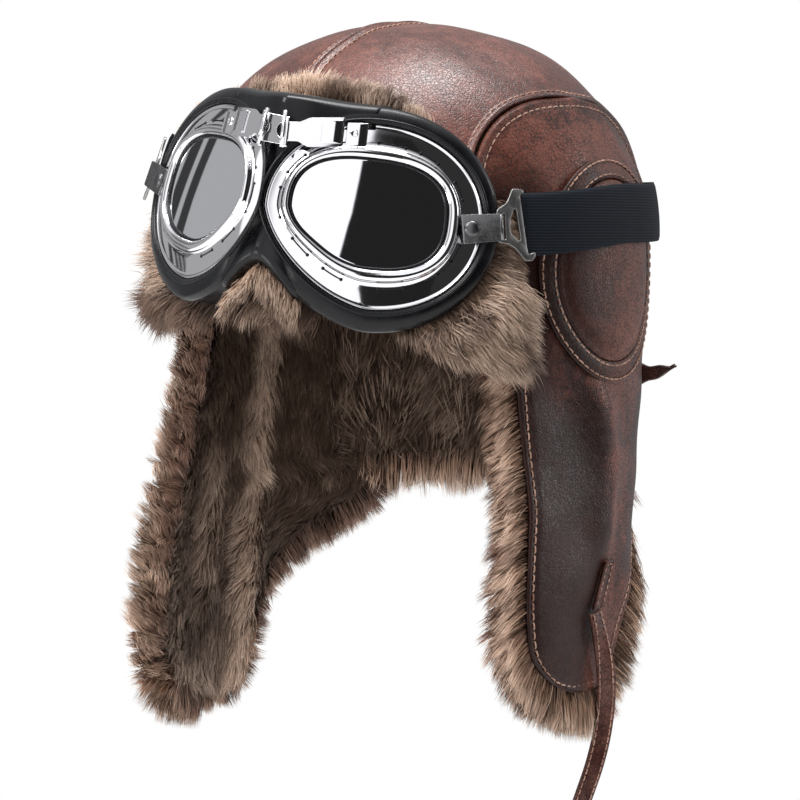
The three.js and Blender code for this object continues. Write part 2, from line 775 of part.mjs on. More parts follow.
// How high the fur may stand under a buckle and the start of the band
function belowBand(turn, level, thick, ends) {
  const end = ends[turn > 0 ? 0 : 1];
  const fromFront = Math.abs(turn);
  const u = Math.max(0, (fromFront - end.turn) / (360 - ends[0].turn - ends[1].turn));
  const { off } = bandLine(turn > 0 ? u : 1 - u, ends);
  const aside = Math.abs(level - end.level) - band.wide / 2;
  const under = smooth(end.turn - 18, end.turn - 9, fromFront) * (1 - smooth(6, 15, aside));
  return Math.min(thick, mix(thick, Math.max(1, off - 4), under));
}

// Turned-up fur front, pressed flat under the goggles
function furFront() {
  const [first, last] = [frontRows[0].turn, frontRows.at(-1).turn];
  const steps = 25;
  const ends = [1, -1].map(bandEnd);
  return sheet(steps, 8, (u, v, w) => {
    const turn = mix(first, last, u);
    const odd = Math.round(u * steps) % 2;
    const [fold, top] = ["fold", "top"].map((column) => read(frontRows, "turn", column, turn));
    const level = mix(fold - odd * 2.5 - 4, top + odd * 2, v);
    const acrossRim = Math.min(1, 0.35 + 5 * (1 - Math.abs(2 * v - 1)));
    const alongRim = Math.min(1, 0.4 + 7 * (1 - Math.abs(2 * u - 1)));
    const thick = (frontFur.thick + lock(turn * 1.9 + level * 0.6) * 0.7) * acrossRim * alongRim;
    const onLeather = wall(turn * degree, level);
    const cover = underPad(onForm(onLeather, frontFur.pressed));
    const pressed = Math.min(thick, mix(thick, frontFur.pressed, cover));
    return onForm(onLeather, ease + belowBand(turn, level, pressed, ends) * w);
  });
}

// Tie: its upper end is sewn to the left flap and the rest hangs free
const tieRoute = [
  { drop: -162, out: 1.6, back: -6 },
  { drop: -170, out: 2.6, back: -4.4 },
  { drop: -180, out: 3.2, back: -2 },
  { drop: -191, out: 3, back: 0.4 },
  { drop: -203, out: 1.5, back: 2.5 },
  { drop: -216, out: 0.5, back: 1 },
  { drop: -228, out: 0, back: -4 },
  { drop: -240, out: 0, back: -12.5 },
  { drop: -251, out: 0.5, back: -22 },
  { drop: -260, out: 1, back: -31 },
];

function tieTab() {
  return sheet(2, 4, (u, v, w) => {
    const level = mix(tie.sewn + gap, tie.top, v);
    const turn = (tie.tabTurn + tie.tabLean * v) * degree;
    const p = onWall(turn, level, 0.7 + w * 2.2);
    p.y += mix(-3, 3, u);
    return p;
  });
}

function tiePoint(drop) {
  const p = onWall(tie.turn * degree, Math.max(drop, -186), 1);
  p.z = drop;
  p.x += read(tieRoute, "drop", "out", drop);
  p.y += read(tieRoute, "drop", "back", drop);
  return p;
}

function hangingTie() {
  const points = tieRoute.map(({ drop }) => tiePoint(drop));
  const line = new THREE.CatmullRomCurve3(points, false, "centripetal");
  return sheet(1, 20, (u, v, w) => {
    const along = line.getTangentAt(v);
    const face = new THREE.Vector3(Math.cos(0.35 * v), Math.sin(0.35 * v), 0);
    const across = along.clone().cross(face).normalize();
    face.copy(across).cross(along).normalize();
    const at = line.getPointAt(v).addScaledVector(across, (u - 0.5) * tie.wide);
    return at.addScaledVector(face, (w - 0.5) * tie.thick);
  });
}

// Nape strap with its loose end standing off the left side
function strapAtNape() {
  return sheet(24, 1, (u, v, w) => {
    const tailShare = 0.16;
    const onBack = mix(napeStrap.to, napeStrap.from + 6, Math.min(1, u / (1 - tailShare)));
    const tail = Math.max(0, (u - 1 + tailShare) / tailShare);
    const taper = 1 - 0.75 * smooth(0.6, 1, tail);
    const level = napeStrap.level + 4 * tail ** 2 + mix(-1, 1, v) * (napeStrap.wide / 2) * taper;
    const turn = onBack > 180 ? onBack - 360 : onBack;
    const p = onWall(turn * degree, level, gap + 0.4 + napeStrap.thick * w);
    return p.add(new THREE.Vector3(17, 5, 0).multiplyScalar(tail));
  });
}

// Assembly
const hat = new THREE.Group();
const add = (name, solid, material) => hat.add(mesh(name, solid, material));

for (const side of [1, -1]) {
  const end = sideName(side);
  add("crown_" + end, crownPanel(side), brownLeather);
  add("side_panel_" + end, sidePanel(side), brownLeather);
  add("ear_flap_" + end, earFlap(side), brownLeather);
  add("ear_ring_" + end, earRing(side), brownLeather);
  add("ear_pad_" + end, earPad(side), brownLeather);
  add("flap_lining_" + end, flapLining(side), brownFur);
  add("goggle_plate_" + end, gogglePlate(side), chrome);
  add("goggle_lens_" + end, lens(side), mirrorLens);
  add("bridge_plate_" + end, bridgePlate(side), chrome);
  add("bracket_tab_" + end, bracketTab(side), chrome);
  add("bracket_rivet_" + end, rivet(side), chrome);
  add("strap_buckle_" + end, buckleFrame(side), chrome);
}
add("crown_lining", crownLining(), brownFur);
add("front_fur", furFront(), brownFur);
add("goggle_pad", gogglePad(), blackRubber);
add("bridge_link", bridgeLink(), chrome);
add("goggle_band", elasticBand(), blackElastic);
add("tie_tab", tieTab(), brownLeather);
add("tie_left", hangingTie(), brownLeather);
add("nape_strap", strapAtNape(), brownLeather);

export default hat;
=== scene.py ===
import math

import bmesh
import bpy
import mathutils.kdtree
import numpy as np
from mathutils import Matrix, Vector


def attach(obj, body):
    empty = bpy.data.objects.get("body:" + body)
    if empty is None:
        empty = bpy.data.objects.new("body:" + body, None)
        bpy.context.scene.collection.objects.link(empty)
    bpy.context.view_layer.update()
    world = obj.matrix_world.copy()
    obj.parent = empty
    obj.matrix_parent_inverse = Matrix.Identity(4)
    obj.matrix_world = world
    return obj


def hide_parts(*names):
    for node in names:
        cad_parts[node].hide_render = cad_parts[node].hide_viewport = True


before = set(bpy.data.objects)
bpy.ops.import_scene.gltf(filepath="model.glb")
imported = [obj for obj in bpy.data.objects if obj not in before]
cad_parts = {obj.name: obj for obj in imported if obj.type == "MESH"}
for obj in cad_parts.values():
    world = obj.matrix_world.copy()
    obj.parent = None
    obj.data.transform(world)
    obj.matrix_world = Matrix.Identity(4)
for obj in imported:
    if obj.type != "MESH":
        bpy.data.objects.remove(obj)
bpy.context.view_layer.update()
scene = bpy.context.scene
print("frame loaded")

# Camera

camera = {"azimuth": 35, "elevation": 3.35, "distance": 1.3, "lens": 128.7, "aimDown": 0.076, "aimAside": 0.0068}


def placeCamera():
    a, e = math.radians(camera["azimuth"]), math.radians(camera["elevation"])
    aside = Vector((math.cos(a), math.sin(a), 0))
    back = Vector((math.sin(a) * math.cos(e), -math.cos(a) * math.cos(e), math.sin(e)))
    aim = Vector((0, 0, -camera["aimDown"])) - aside * camera["aimAside"]
    data = bpy.data.cameras.new("camera")
    data.lens = camera["lens"]
    data.clip_end = 20
    made = bpy.data.objects.new("camera", data)
    scene.collection.objects.link(made)
    made.location = aim + back * camera["distance"]
    made.rotation_mode = "QUATERNION"
    made.rotation_quaternion = (-back).to_track_quat("-Z", "Y")
    scene.camera = made


placeCamera()

# Small maths, in millimetres; turns are radians round from the brow towards the left ear

degree = math.pi / 180


def smooth(start, end, x):
    t = np.clip((x - start) / (end - start), 0, 1)
    return t * t * (3 - 2 * t)


def mix(a, b, t):
    return a + (b - a) * t


def unit(v):
    return v / np.maximum(np.linalg.norm(v, axis=-1, keepdims=True), 1e-9)


def bump(x, width):
    return np.exp(-((x / width) ** 2))


def readRows(rows, x, column=1):
    rows = np.array(rows, float)
    if rows[0, 0] > rows[-1, 0]:
        rows = rows[::-1]
    keys, values = rows[:, 0], rows[:, column]
    slopes = np.gradient(values)
    slopes[1:-1] = (values[2:] - values[:-2]) / (keys[2:] - keys[:-2])
    slopes[0] = (values[1] - values[0]) / (keys[1] - keys[0])
    slopes[-1] = (values[-1] - values[-2]) / (keys[-1] - keys[-2])
    x = np.clip(x, keys[0], keys[-1])
    i = np.clip(np.searchsorted(keys, x, side="right") - 1, 0, len(keys) - 2)
    span = keys[i + 1] - keys[i]
    t = (x - keys[i]) / span
    t2, t3 = t * t, t * t * t
    ends = values[i] * (2 * t3 - 3 * t2 + 1) + values[i + 1] * (3 * t2 - 2 * t3)
    return ends + span * (slopes[i] * (t3 - 2 * t2 + t) + slopes[i + 1] * (t3 - t2))


def ripples(p, scale, seed, waves=9):
    # a soft uneven field of about -1 to 1, from a few crossing waves
    rng = np.random.default_rng(seed)
    total = np.zeros(p.shape[:-1])
    for _ in range(waves):
        way = unit(rng.normal(size=3)) * rng.uniform(0.6, 1.6) * 2 * math.pi / scale
        total += np.sin(p @ way + rng.uniform(0, 2 * math.pi))
    return total / math.sqrt(waves) * 0.9


# The head form under the hat

head = {
    "halfWidth": 103, "halfLength": 108, "height": 93.5, "roundness": 2.1, "browRoundness": 0.05,
    "napeTuck": 0.15, "napeDepth": 105, "flare": 22, "flareFrom": 90, "flareOver": 42,
    "flareStart": -20, "flareFull": -150, "hang": 5,
}
leather = {"thick": 1.6, "gap": 0.3, "ease": 1.3}
sideArch = {"middle": -2, "reach": 70, "foot": -5, "top": 58, "squareness": 2.7, "seam": -33}
brow = {"level": -26, "drop": 6.5}
rightFlap = {"drop": 14, "rear": 9}
flapRows = [
    (-33, 57, 128), (-54, 58.5, 128.5), (-72, 58, 129), (-112, 56, 129), (-130, 53.5, 116), (-147, 51.5, 104),
    (-163, 51, 96), (-177, 52.5, 90.5), (-188, 59, 86), (-194, 67, 82), (-196, 72, 77),
]


def roundnessAt(turn):
    return head["roundness"] + head["browRoundness"] * np.cos(turn)


def formShare(turn, level):
    n = roundnessAt(turn)
    over = np.clip(level / head["height"], 0, 1)
    above = (1 - over**n) ** (1 / n)
    behind = ((1 - np.cos(turn)) / 2) ** 4
    below = 1 - head["napeTuck"] * behind * np.minimum(1.6, (level / head["napeDepth"]) ** 2)
    return np.where(level >= 0, above, below)


def wallPoint(turn, level):
    turn, level = np.broadcast_arrays(np.asarray(turn, float), np.asarray(level, float))
    turn = (turn + math.pi) % (2 * math.pi) - math.pi
    share = formShare(turn, level)
    fromFront = np.abs(turn) / degree
    most = np.maximum(0, (head["flareFrom"] - fromFront) / head["flareOver"]) ** 1.5 * head["flare"]
    out = most * smooth(head["flareStart"], head["flareFull"], level) * smooth(8, 35, fromFront)
    hang = head["hang"] * smooth(-60, -180, level) * smooth(125, 95, fromFront)
    x = head["halfWidth"] * share * np.sin(turn) + np.sign(np.sin(turn)) * (out + hang)
    return np.stack([x, -head["halfLength"] * share * np.cos(turn), level], -1)


def wallNormal(turn, level):
    h, v = 0.5 * degree, 0.5
    around = wallPoint(turn + h, level) - wallPoint(turn - h, level)
    up = wallPoint(turn, level + v) - wallPoint(turn, level - v)
    return unit(np.cross(around, up))


def onWall(turn, level, out=0):
    return wallPoint(turn, level) + wallNormal(turn, level) * np.asarray(out)[..., None]


def turnOf(p):
    return np.arctan2(p[..., 0] / head["halfWidth"], -p[..., 1] / head["halfLength"])


def domeGauge(p):
    n = roundnessAt(turnOf(p))
    flat = np.hypot(p[..., 0] / head["halfWidth"], p[..., 1] / head["halfLength"])
    return (flat**n + (np.abs(p[..., 2]) / head["height"]) ** n) ** (1 / n)


def gauge(p):
    low = wallPoint(turnOf(p), np.minimum(p[..., 2], 0))
    wide = np.hypot(p[..., 0], p[..., 1]) / np.hypot(low[..., 0], low[..., 1])
    return np.where(p[..., 2] < 0, wide, domeGauge(p))


def onForm(p, out=0):
    out = np.broadcast_to(np.asarray(out, float), p.shape[:-1])
    low = onWall(turnOf(p), np.minimum(p[..., 2], 0), out)
    q = p / domeGauge(p)[..., None]
    slope = []
    for axis in range(3):
        step = np.zeros(3)
        step[axis] = 0.05
        slope.append(domeGauge(q + step) - domeGauge(q - step))
    slope[2] = np.where(q[..., 2] > 0.05, slope[2], 0)
    high = q + unit(np.stack(slope, -1)) * out[..., None]
    return np.where(p[..., 2:] < 0, low, high)


def standOff(p):
    size = np.where(p[..., 2] < 0, np.hypot(p[..., 0], p[..., 1]), np.linalg.norm(p, axis=-1))
    return size * (1 - 1 / gauge(p))


def turnAt(y, level):
    turn = np.full(np.broadcast(y, level).shape, math.pi / 2)
    for _ in range(4):
        turn = np.arccos(np.clip(-y / (head["halfLength"] * formShare(turn, level)), -1, 1))
    return turn


def mirrored(side, p):
    return p * np.array([side, 1, 1])


def lowered(side, p):
    if side < 0:
        p = p.copy()
        p[..., 2] -= rightFlap["drop"] * smooth(-60, -187, p[..., 2])
    return p


def drawnIn(side, level):
    return 0 if side > 0 else rightFlap["rear"] * smooth(-110, -140, level) * smooth(-199, -148, level)


def sideName(side):
    return "left" if side > 0 else "right"


def sided(name, side):
    return name + "_" + sideName(side)


def runAlong(points):
    # how far each point lies along the line through them
    return np.concatenate([[0], np.cumsum(np.linalg.norm(np.diff(points, axis=0), axis=1))])


# Making pieces

millimetre = 0.001


def finishPiece(name, form, finish, replaces=()):
    # form is a bmesh in metres
    data = bpy.data.meshes.new(name)
    form.to_mesh(data)
    form.free()
    return placePiece(name, data, finish, replaces)


def placePiece(name, data, finish, replaces=()):
    piece = bpy.data.objects.new(name, data)
    scene.collection.objects.link(piece)
    data.materials.append(finish)
    for face in data.polygons:
        face.use_smooth = True
    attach(piece, "root")
    if replaces:
        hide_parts(*replaces)
    return piece


def bentGrid(across, along, place):
    # a grid bent by place, which turns u and v from 0 to 1 into millimetres
    form = bmesh.new()
    form.loops.layers.uv.new("along")
    bmesh.ops.create_grid(form, x_segments=across, y_segments=along, size=0.5, calc_uvs=True)
    spots = np.array([v.co[:2] for v in form.verts]) + 0.5
    for v, p in zip(form.verts, place(spots[:, 0], spots[:, 1]) * millimetre):
        v.co = p
    return form


def faceOut(form):
    # an open sheet's faces look away from the head
    centre = Vector((0, 0, -0.02))
    total = sum((f.calc_center_median() - centre).dot(f.normal) * f.calc_area() for f in form.faces)
    if total < 0:
        bmesh.ops.reverse_faces(form, faces=form.faces)


def panelPiece(name, form, thick, finish, replaces=()):
    form.normal_update()
    faceOut(form)
    piece = finishPiece(name, form, finish, replaces)
    wall = piece.modifiers.new("wall", "SOLIDIFY")
    wall.thickness = thick * millimetre
    wall.offset = -1
    return piece


def loft(rings, closeStart=True, closeEnd=True):
    # rings of points, in millimetres, joined by extruding each from the last
    form = bmesh.new()
    sides = len(rings[0])
    made = bmesh.ops.create_circle(form, segments=sides, radius=1)
    order = {v: i for i, v in enumerate(made["verts"])}
    edges = form.edges[:]
    for v, i in order.items():
        v.co = rings[0][i] * millimetre
    if closeStart:
        bmesh.ops.contextual_create(form, geom=edges)
    for ring in rings[1:]:
        grown = bmesh.ops.extrude_edge_only(form, edges=edges)["geom"]
        fresh = [v for v in grown if isinstance(v, bmesh.types.BMVert)]
        edges = [e for e in grown if isinstance(e, bmesh.types.BMEdge)]
        following = {}
        for v in fresh:
            old = next(e.other_vert(v) for e in v.link_edges if e.other_vert(v) in order)
            following[v] = order[old]
            v.co = ring[order[old]] * millimetre
        order = following
    if closeEnd:
        bmesh.ops.contextual_create(form, geom=edges)
    bmesh.ops.recalc_face_normals(form, faces=form.faces)
    return form


def closedRound(rings):
    # rings that lead back to the first, as round a rim
    form = loft(rings + [rings[0]], False, False)
    bmesh.ops.remove_doubles(form, verts=form.verts, dist=1e-6)
    bmesh.ops.recalc_face_normals(form, faces=form.faces)
    return form


def joined(forms):
    # several closed forms as one
    total = bmesh.new()
    for form in forms:
        data = bpy.data.meshes.new("part")
        form.to_mesh(data)
        form.free()
        total.from_mesh(data)
        bpy.data.meshes.remove(data)
    return total


def meshOf(name, points, faces, uv=None):
    # many small alike things at once, from arrays in millimetres
    data = bpy.data.meshes.new(name)
    size = faces.shape[1]
    data.vertices.add(len(points))
    data.vertices.foreach_set("co", (points * millimetre).astype(np.float32).ravel())
    data.loops.add(faces.size)
    data.loops.foreach_set("vertex_index", faces.astype(np.int32).ravel())
    data.polygons.add(len(faces))
    data.polygons.foreach_set("loop_start", np.arange(0, faces.size, size, dtype=np.int32))
    if uv is not None:
        layer = data.uv_layers.new(name="OFBake")
        layer.data.foreach_set("uv", uv[faces.ravel()].astype(np.float32).ravel())
    data.update(calc_edges=True)
    return data


# Materials


class Wire:
    # a node's output, so that sums and products of masks are written as such
    def __init__(self, tree, socket=None):
        self.tree = tree
        self.socket = socket

    def add(self, kind, inputs=None, output=0, stops=None, **settings):
        node = self.tree.nodes.new("ShaderNode" + kind)
        for key, value in settings.items():
            setattr(node, key, value)
        if stops:
            ramp = node.color_ramp
            while len(ramp.elements) < len(stops):
                ramp.elements.new(0.5)
            for element, (place, colour) in zip(ramp.elements, stops):
                element.position = place
                element.color = (*colour, 1) if len(colour) == 3 else colour
        for key, value in (inputs or {}).items():
            if isinstance(value, Wire):
                self.tree.links.new(value.socket, node.inputs[key])
            else:
                node.inputs[key].default_value = value
        return Wire(self.tree, node.outputs[output])

    def maths(self, operation, first, second):
        return self.add("Math", {0: first, 1: second}, operation=operation)

    def __add__(self, other):
        return self.maths("ADD", self, other)

    __radd__ = __add__

    def __sub__(self, other):
        return self.maths("SUBTRACT", self, other)

    def __rsub__(self, other):
        return self.maths("SUBTRACT", other, self)

    def __mul__(self, other):
        return self.maths("MULTIPLY", self, other)

    __rmul__ = __mul__


def newFinish(name, specular=None, **sockets):
    finish = bpy.data.materials.new(name)
    finish.use_nodes = True
    shader = finish.node_tree.nodes["Principled BSDF"]
    for key, value in sockets.items():
        shader.inputs[key].default_value = value
    if specular is not None:
        shader.inputs["Specular IOR Level"].default_value = specular
    return finish, Wire(finish.node_tree), shader


def evenFinish(name, colour, **sockets):
    # one even colour, as mirrors and the floor have
    finish, _, shader = newFinish(name, **sockets)
    shader.inputs["Base Color"].default_value = (*colour, 1)
    return finish


def plug(wire, shader, socket):
    wire.tree.links.new(wire.socket, shader.inputs[socket])


def objectSpots(start):
    return start.add("TexCoord", output=3)


def cloud(start, spots, scale, detail=3, roughness=0.55, distortion=0.0):
    inputs = {"Vector": spots, "Scale": scale, "Detail": detail, "Roughness": roughness, "Distortion": distortion}
    return start.add("TexNoise", inputs)


def clamped(wire, low, high, toLow=0.0, toHigh=1.0):
    inputs = {0: wire, 1: low, 2: high, 3: toLow, 4: toHigh}
    return wire.add("MapRange", inputs, clamp=True, interpolation_type="SMOOTHSTEP")


def blendColour(start, factor, a, b):
    inputs = {0: factor}
    for key, value in ((6, a), (7, b)):
        inputs[key] = value if isinstance(value, Wire) else (*value, 1)
    return start.add("Mix", inputs, output=2, data_type="RGBA")


def raised(start, height, distance, strength=1.0, after=None):
    inputs = {"Height": height, "Distance": distance * millimetre, "Strength": strength}
    if after is not None:
        inputs["Normal"] = after
    return start.add("Bump", inputs)


def leatherFinish(name, dark, middle, worn, gloss, sheen, paintedShadeZone=None):
    # pebbled hide: small cells with creases between them, mottled by wear
    finish, start, shader = newFinish(name, sheen)
    spots = objectSpots(start)
    wander = start.add("TexNoise", {"Vector": spots, "Scale": 260, "Detail": 2}, output=1) * 0.004
    bent = start.add("VectorMath", {0: spots, 1: wander})
    patches = cloud(start, spots, 17, 4, 0.6, 0.5)
    mottle = cloud(start, spots, 120, 5, 0.7)
    fine = cloud(start, spots, 1100, 2, 0.6)
    cells = start.add("TexVoronoi", {"Vector": bent, "Scale": 620, "Randomness": 1}, feature="DISTANCE_TO_EDGE")
    wide = start.add("TexVoronoi", {"Vector": bent, "Scale": 170, "Randomness": 1}, feature="DISTANCE_TO_EDGE")
    pebbles = clamped(cells, 0.0, 0.16)
    cracks = clamped(wide, 0.0, 0.05)
    tone = clamped(patches * 0.5 + mottle * 0.42 + pebbles * 0.08, 0.34, 0.68)
    if paintedShadeZone:
        # painted shade before the fold of a flap and beside the turned-up fur, and a painted highlight along the fold
        y = start.add("SeparateXYZ", {0: spots}, output=1) + patches * 0.012 - 0.006
        z = start.add("SeparateXYZ", {0: spots}, output=2)
        behind = y + clamped(z, -0.215, -0.115, 0.027, 0.0065)
        onFlap = clamped(z, -0.085, -0.062, 1.0, 0.0)
        # painted shade on the flap before its fold
        front = (1 - clamped(behind, -0.008, 0.001)) * onFlap
        near, far, top = paintedShadeZone
        # painted shade beside the turned-up fur
        beside = (1 - clamped(y, near, far)) * (1 - clamped(z, top - 0.045, top))
        # painted highlight along the fold
        paintedFoldHighlight = clamped(behind, -0.001, 0.003) * (1 - clamped(behind, 0.005, 0.014)) * onFlap
        # depth here is the painted shade, the larger of the two
        depth = start.add("Math", {0: front, 1: beside}, operation="MAXIMUM")
        tone = clamped(tone * (1 - depth * 0.72) + paintedFoldHighlight * 0.3, 0.0, 1.0)
    base = start.add("ValToRGB", {0: tone}, stops=[(0.0, dark), (0.5, middle), (1.0, worn)])
    shaded = blendColour(start, pebbles * 0.45 + 0.55, tuple(c * 0.5 for c in dark), base)
    plug(blendColour(start, cracks * 0.3 + 0.7, tuple(c * 0.4 for c in dark), shaded), shader, "Base Color")
    polish = mottle * 0.55 + fine * 0.25 - pebbles * 0.2
    plug(clamped(polish, 0.1, 0.5, gloss - 0.09, gloss + 0.12), shader, "Roughness")
    pores = raised(start, pebbles * 0.75 + fine * 0.25, 0.1, 0.6)
    creased = raised(start, cracks, 0.12, 0.35, pores)
    plug(raised(start, mottle, 0.7, 0.45, creased), shader, "Normal")
    return finish


# paintedShadeZone: from where to where, front to back, the painted shade beside the fur fades, and its top, in metres
hides = {
    # the crown's colours are redder, and lighter than the sides' brown leather: partly painted light from above
    "crown_leather_painted_lighter": {
        "dark": (0.045, 0.0125, 0.0085), "middle": (0.118, 0.033, 0.0215), "worn": (0.21, 0.069, 0.048),
        "gloss": 0.36, "sheen": 0.6,
    },
    "brown_leather": {
        "dark": (0.020, 0.0065, 0.0048), "middle": (0.080, 0.0235, 0.0150), "worn": (0.17, 0.056, 0.038),
        "gloss": 0.4, "sheen": 0.24, "paintedShadeZone": (-0.046, -0.026, 0.05),
    },
    "ear_leather": {
        "dark": (0.030, 0.009, 0.006), "middle": (0.098, 0.029, 0.018), "worn": (0.18, 0.062, 0.041),
        "gloss": 0.4, "sheen": 0.24, "paintedShadeZone": (-0.036, 0.012, 0.08),
    },
    "ring_leather": {
        "dark": (0.017, 0.0065, 0.005), "middle": (0.058, 0.019, 0.0125), "worn": (0.125, 0.043, 0.030),
        "gloss": 0.42, "sheen": 0.24, "paintedShadeZone": (-0.040, 0.010, 0.06),
    },
    "strap_leather": {
        "dark": (0.028, 0.010, 0.008), "middle": (0.075, 0.026, 0.019), "worn": (0.15, 0.058, 0.043),
        "gloss": 0.4, "sheen": 0.3,
    },
}
crownLeatherPaintedLighter, brownLeather, padLeather, ringLeather, strapLeather = [
    leatherFinish(name, **hide) for name, hide in hides.items()
]


def furFinish(name, darkCoat, lightCoat):
    # the map's u is a strand's own shade from dark to light, and v runs from root to tip
    finish, start, shader = newFinish(name, 0.4, Roughness=0.55)
    along = start.add("UVMap", uv_map="OFBake")
    shade = start.add("SeparateXYZ", {0: along}, output=0)
    height = start.add("SeparateXYZ", {0: along}, output=1)
    dark = start.add("ValToRGB", {0: height}, stops=darkCoat)
    light = start.add("ValToRGB", {0: height}, stops=lightCoat)
    plug(blendColour(start, shade, dark, light), shader, "Base Color")
    return finish


frontCoat = furFinish(
    "fur_front",
    [(0.0, (0.022, 0.012, 0.0085)), (0.5, (0.070, 0.039, 0.026)), (1.0, (0.15, 0.085, 0.056))],
    [(0.0, (0.11, 0.062, 0.042)), (0.45, (0.47, 0.30, 0.205)), (1.0, (0.86, 0.67, 0.53))],
)
insideCoat = furFinish(
    "fur_inside",
    [(0.0, (0.020, 0.011, 0.0075)), (0.5, (0.060, 0.034, 0.023)), (1.0, (0.12, 0.071, 0.048))],
    [(0.0, (0.13, 0.082, 0.058)), (0.5, (0.52, 0.36, 0.265)), (1.0, (0.90, 0.70, 0.56))],
)
edgeCoat = furFinish(
    "fur_edge",
    [(0.0, (0.030, 0.015, 0.010)), (0.5, (0.105, 0.052, 0.034)), (1.0, (0.27, 0.135, 0.088))],
    [(0.0, (0.17, 0.09, 0.058)), (0.45, (0.56, 0.345, 0.235)), (1.0, (0.90, 0.69, 0.54))],
)


def backingFinish():
    # the shaded depth of the coat between its strands
    finish, start, shader = newFinish("fur_backing", 0.1, Roughness=0.95)
    spots = objectSpots(start)
    streaks = cloud(start, start.add("Mapping", {"Vector": spots, "Scale": (520, 520, 90)}), 1, 4, 0.65, 0.4)
    patches = cloud(start, spots, 34, 3, 0.6)
    tone = clamped(streaks * 0.6 + patches * 0.4, 0.34, 0.68)
    plug(blendColour(start, tone, (0.022, 0.013, 0.010), (0.13, 0.085, 0.062)), shader, "Base Color")
    plug(raised(start, streaks, 1.2, 0.9), shader, "Normal")
    return finish


furBacking = backingFinish()
chrome = evenFinish("chrome", (0.82, 0.82, 0.84), Metallic=1.0, Roughness=0.06)


def steelFinish(name, tint, gloss):
    # satin nickel, brushed a little and unevenly worn
    finish, start, shader = newFinish(name, Metallic=1.0)
    spots = objectSpots(start)
    stroke = cloud(start, start.add("Mapping", {"Vector": spots, "Scale": (900, 900, 4000)}), 1, 2, 0.6)
    worn = cloud(start, spots, 260, 3, 0.6)
    plug(blendColour(start, worn, tuple(c * 0.7 for c in tint), tint), shader, "Base Color")
    plug(clamped(stroke * 0.5 + worn * 0.5, 0.3, 0.7, gloss - 0.06, gloss + 0.1), shader, "Roughness")
    plug(raised(start, stroke, 0.02, 0.5), shader, "Normal")
    return finish


darkSteel = steelFinish("satin_nickel", (0.40, 0.395, 0.39), 0.34)
tabSteel = steelFinish("dark_nickel", (0.24, 0.24, 0.245), 0.26)
studSteel = steelFinish("dark_stud", (0.13, 0.13, 0.135), 0.3)
mirrorLens = evenFinish("mirror_lens", (0.86, 0.87, 0.89), Metallic=1.0, Roughness=0.015)


def rubberFinish():
    finish, start, shader = newFinish("black_rubber", 0.3)
    spots = objectSpots(start)
    dust = cloud(start, spots, 60, 4, 0.6)
    skin = cloud(start, spots, 1500, 2, 0.5)
    dusty = clamped(dust, 0.4, 0.7)
    plug(blendColour(start, dusty, (0.0022, 0.0024, 0.0034), (0.0055, 0.006, 0.008)), shader, "Base Color")
    plug(clamped(dust * 0.7 + skin * 0.3, 0.3, 0.7, 0.22, 0.34), shader, "Roughness")
    plug(raised(start, skin, 0.03, 0.4), shader, "Normal")
    return finish


rubber = rubberFinish()


def elasticFinish():
    # fine ribs that run along the band
    finish, start, shader = newFinish("black_elastic", 0.15, Roughness=0.85)
    spots = objectSpots(start)
    z = start.add("SeparateXYZ", {0: spots}, output=2)
    x = start.add("SeparateXYZ", {0: spots}, output=0)
    y = start.add("SeparateXYZ", {0: spots}, output=1)
    rib = start.add("Math", {0: z * 5200}, operation="SINE") * 0.5 + 0.5
    weft = start.add("Math", {0: (x + y) * 9000}, operation="SINE") * 0.5 + 0.5
    lint = cloud(start, spots, 700, 3, 0.7)
    tone = clamped(rib * 0.45 + weft * 0.2 + lint * 0.35, 0.2, 0.9)
    plug(blendColour(start, tone, (0.003, 0.0042, 0.0068), (0.012, 0.0165, 0.025)), shader, "Base Color")
    plug(raised(start, rib * 0.7 + weft * 0.3, 0.08, 0.6), shader, "Normal")
    return finish


elastic = elasticFinish()


def threadFinish():
    finish, start, shader = newFinish("thread", Roughness=0.75)
    spots = objectSpots(start)
    soil = cloud(start, spots, 90, 3, 0.6)
    twist = cloud(start, spots, 2200, 2, 0.6)
    tone = clamped(soil * 0.6 + twist * 0.4, 0.34, 0.66)
    plug(blendColour(start, tone, (0.21, 0.105, 0.072), (0.58, 0.36, 0.27)), shader, "Base Color")
    plug(raised(start, twist, 0.1, 0.8), shader, "Normal")
    return finish


thread = threadFinish()
print("materials made")

# Tie

tie = {
    "wide": 8.5, "thick": 1.8, "turn": 80, "tabTurn": 78, "tabLean": 7, "top": -141, "sewn": -161, "bend": 0.35,
    "twist": 0.9, "steps": 90, "onFlap": -186,
}
# level, and how far out and back it has swung from the flap
tieRoute = [
    (-162, 1.6, -6), (-170, 2.6, -4.4), (-180, 3.2, -2), (-191, 3, 0.4), (-203, 1.5, 2.5), (-216, 0.5, 1),
    (-228, 0, -4), (-240, 0, -12.5), (-251, 0.5, -22), (-260, 1, -31),
]


def tieLine():
    drops, outs, backs = np.array(tieRoute).T
    points = onWall(tie["turn"] * degree, np.maximum(drops, tie["onFlap"]), np.ones(len(drops)))
    points[:, 2] = drops
    points[:, 0] += outs
    points[:, 1] += backs
    knots = runAlong(points)
    fine = np.linspace(0, knots[-1], tie["steps"] + 1)
    line = np.stack([readRows(np.stack([knots, points[:, k]], 1), fine) for k in range(3)], 1)
    way = unit(np.gradient(line, axis=0))
    return line, way


def tieFace(share):
    # the tie turns its face towards the front as it leaves the tab
    angle = tie["bend"] * share - tie["twist"] * smooth(0.0, 0.3, share)
    return np.stack([np.cos(angle), np.sin(angle), 0 * share], -1)


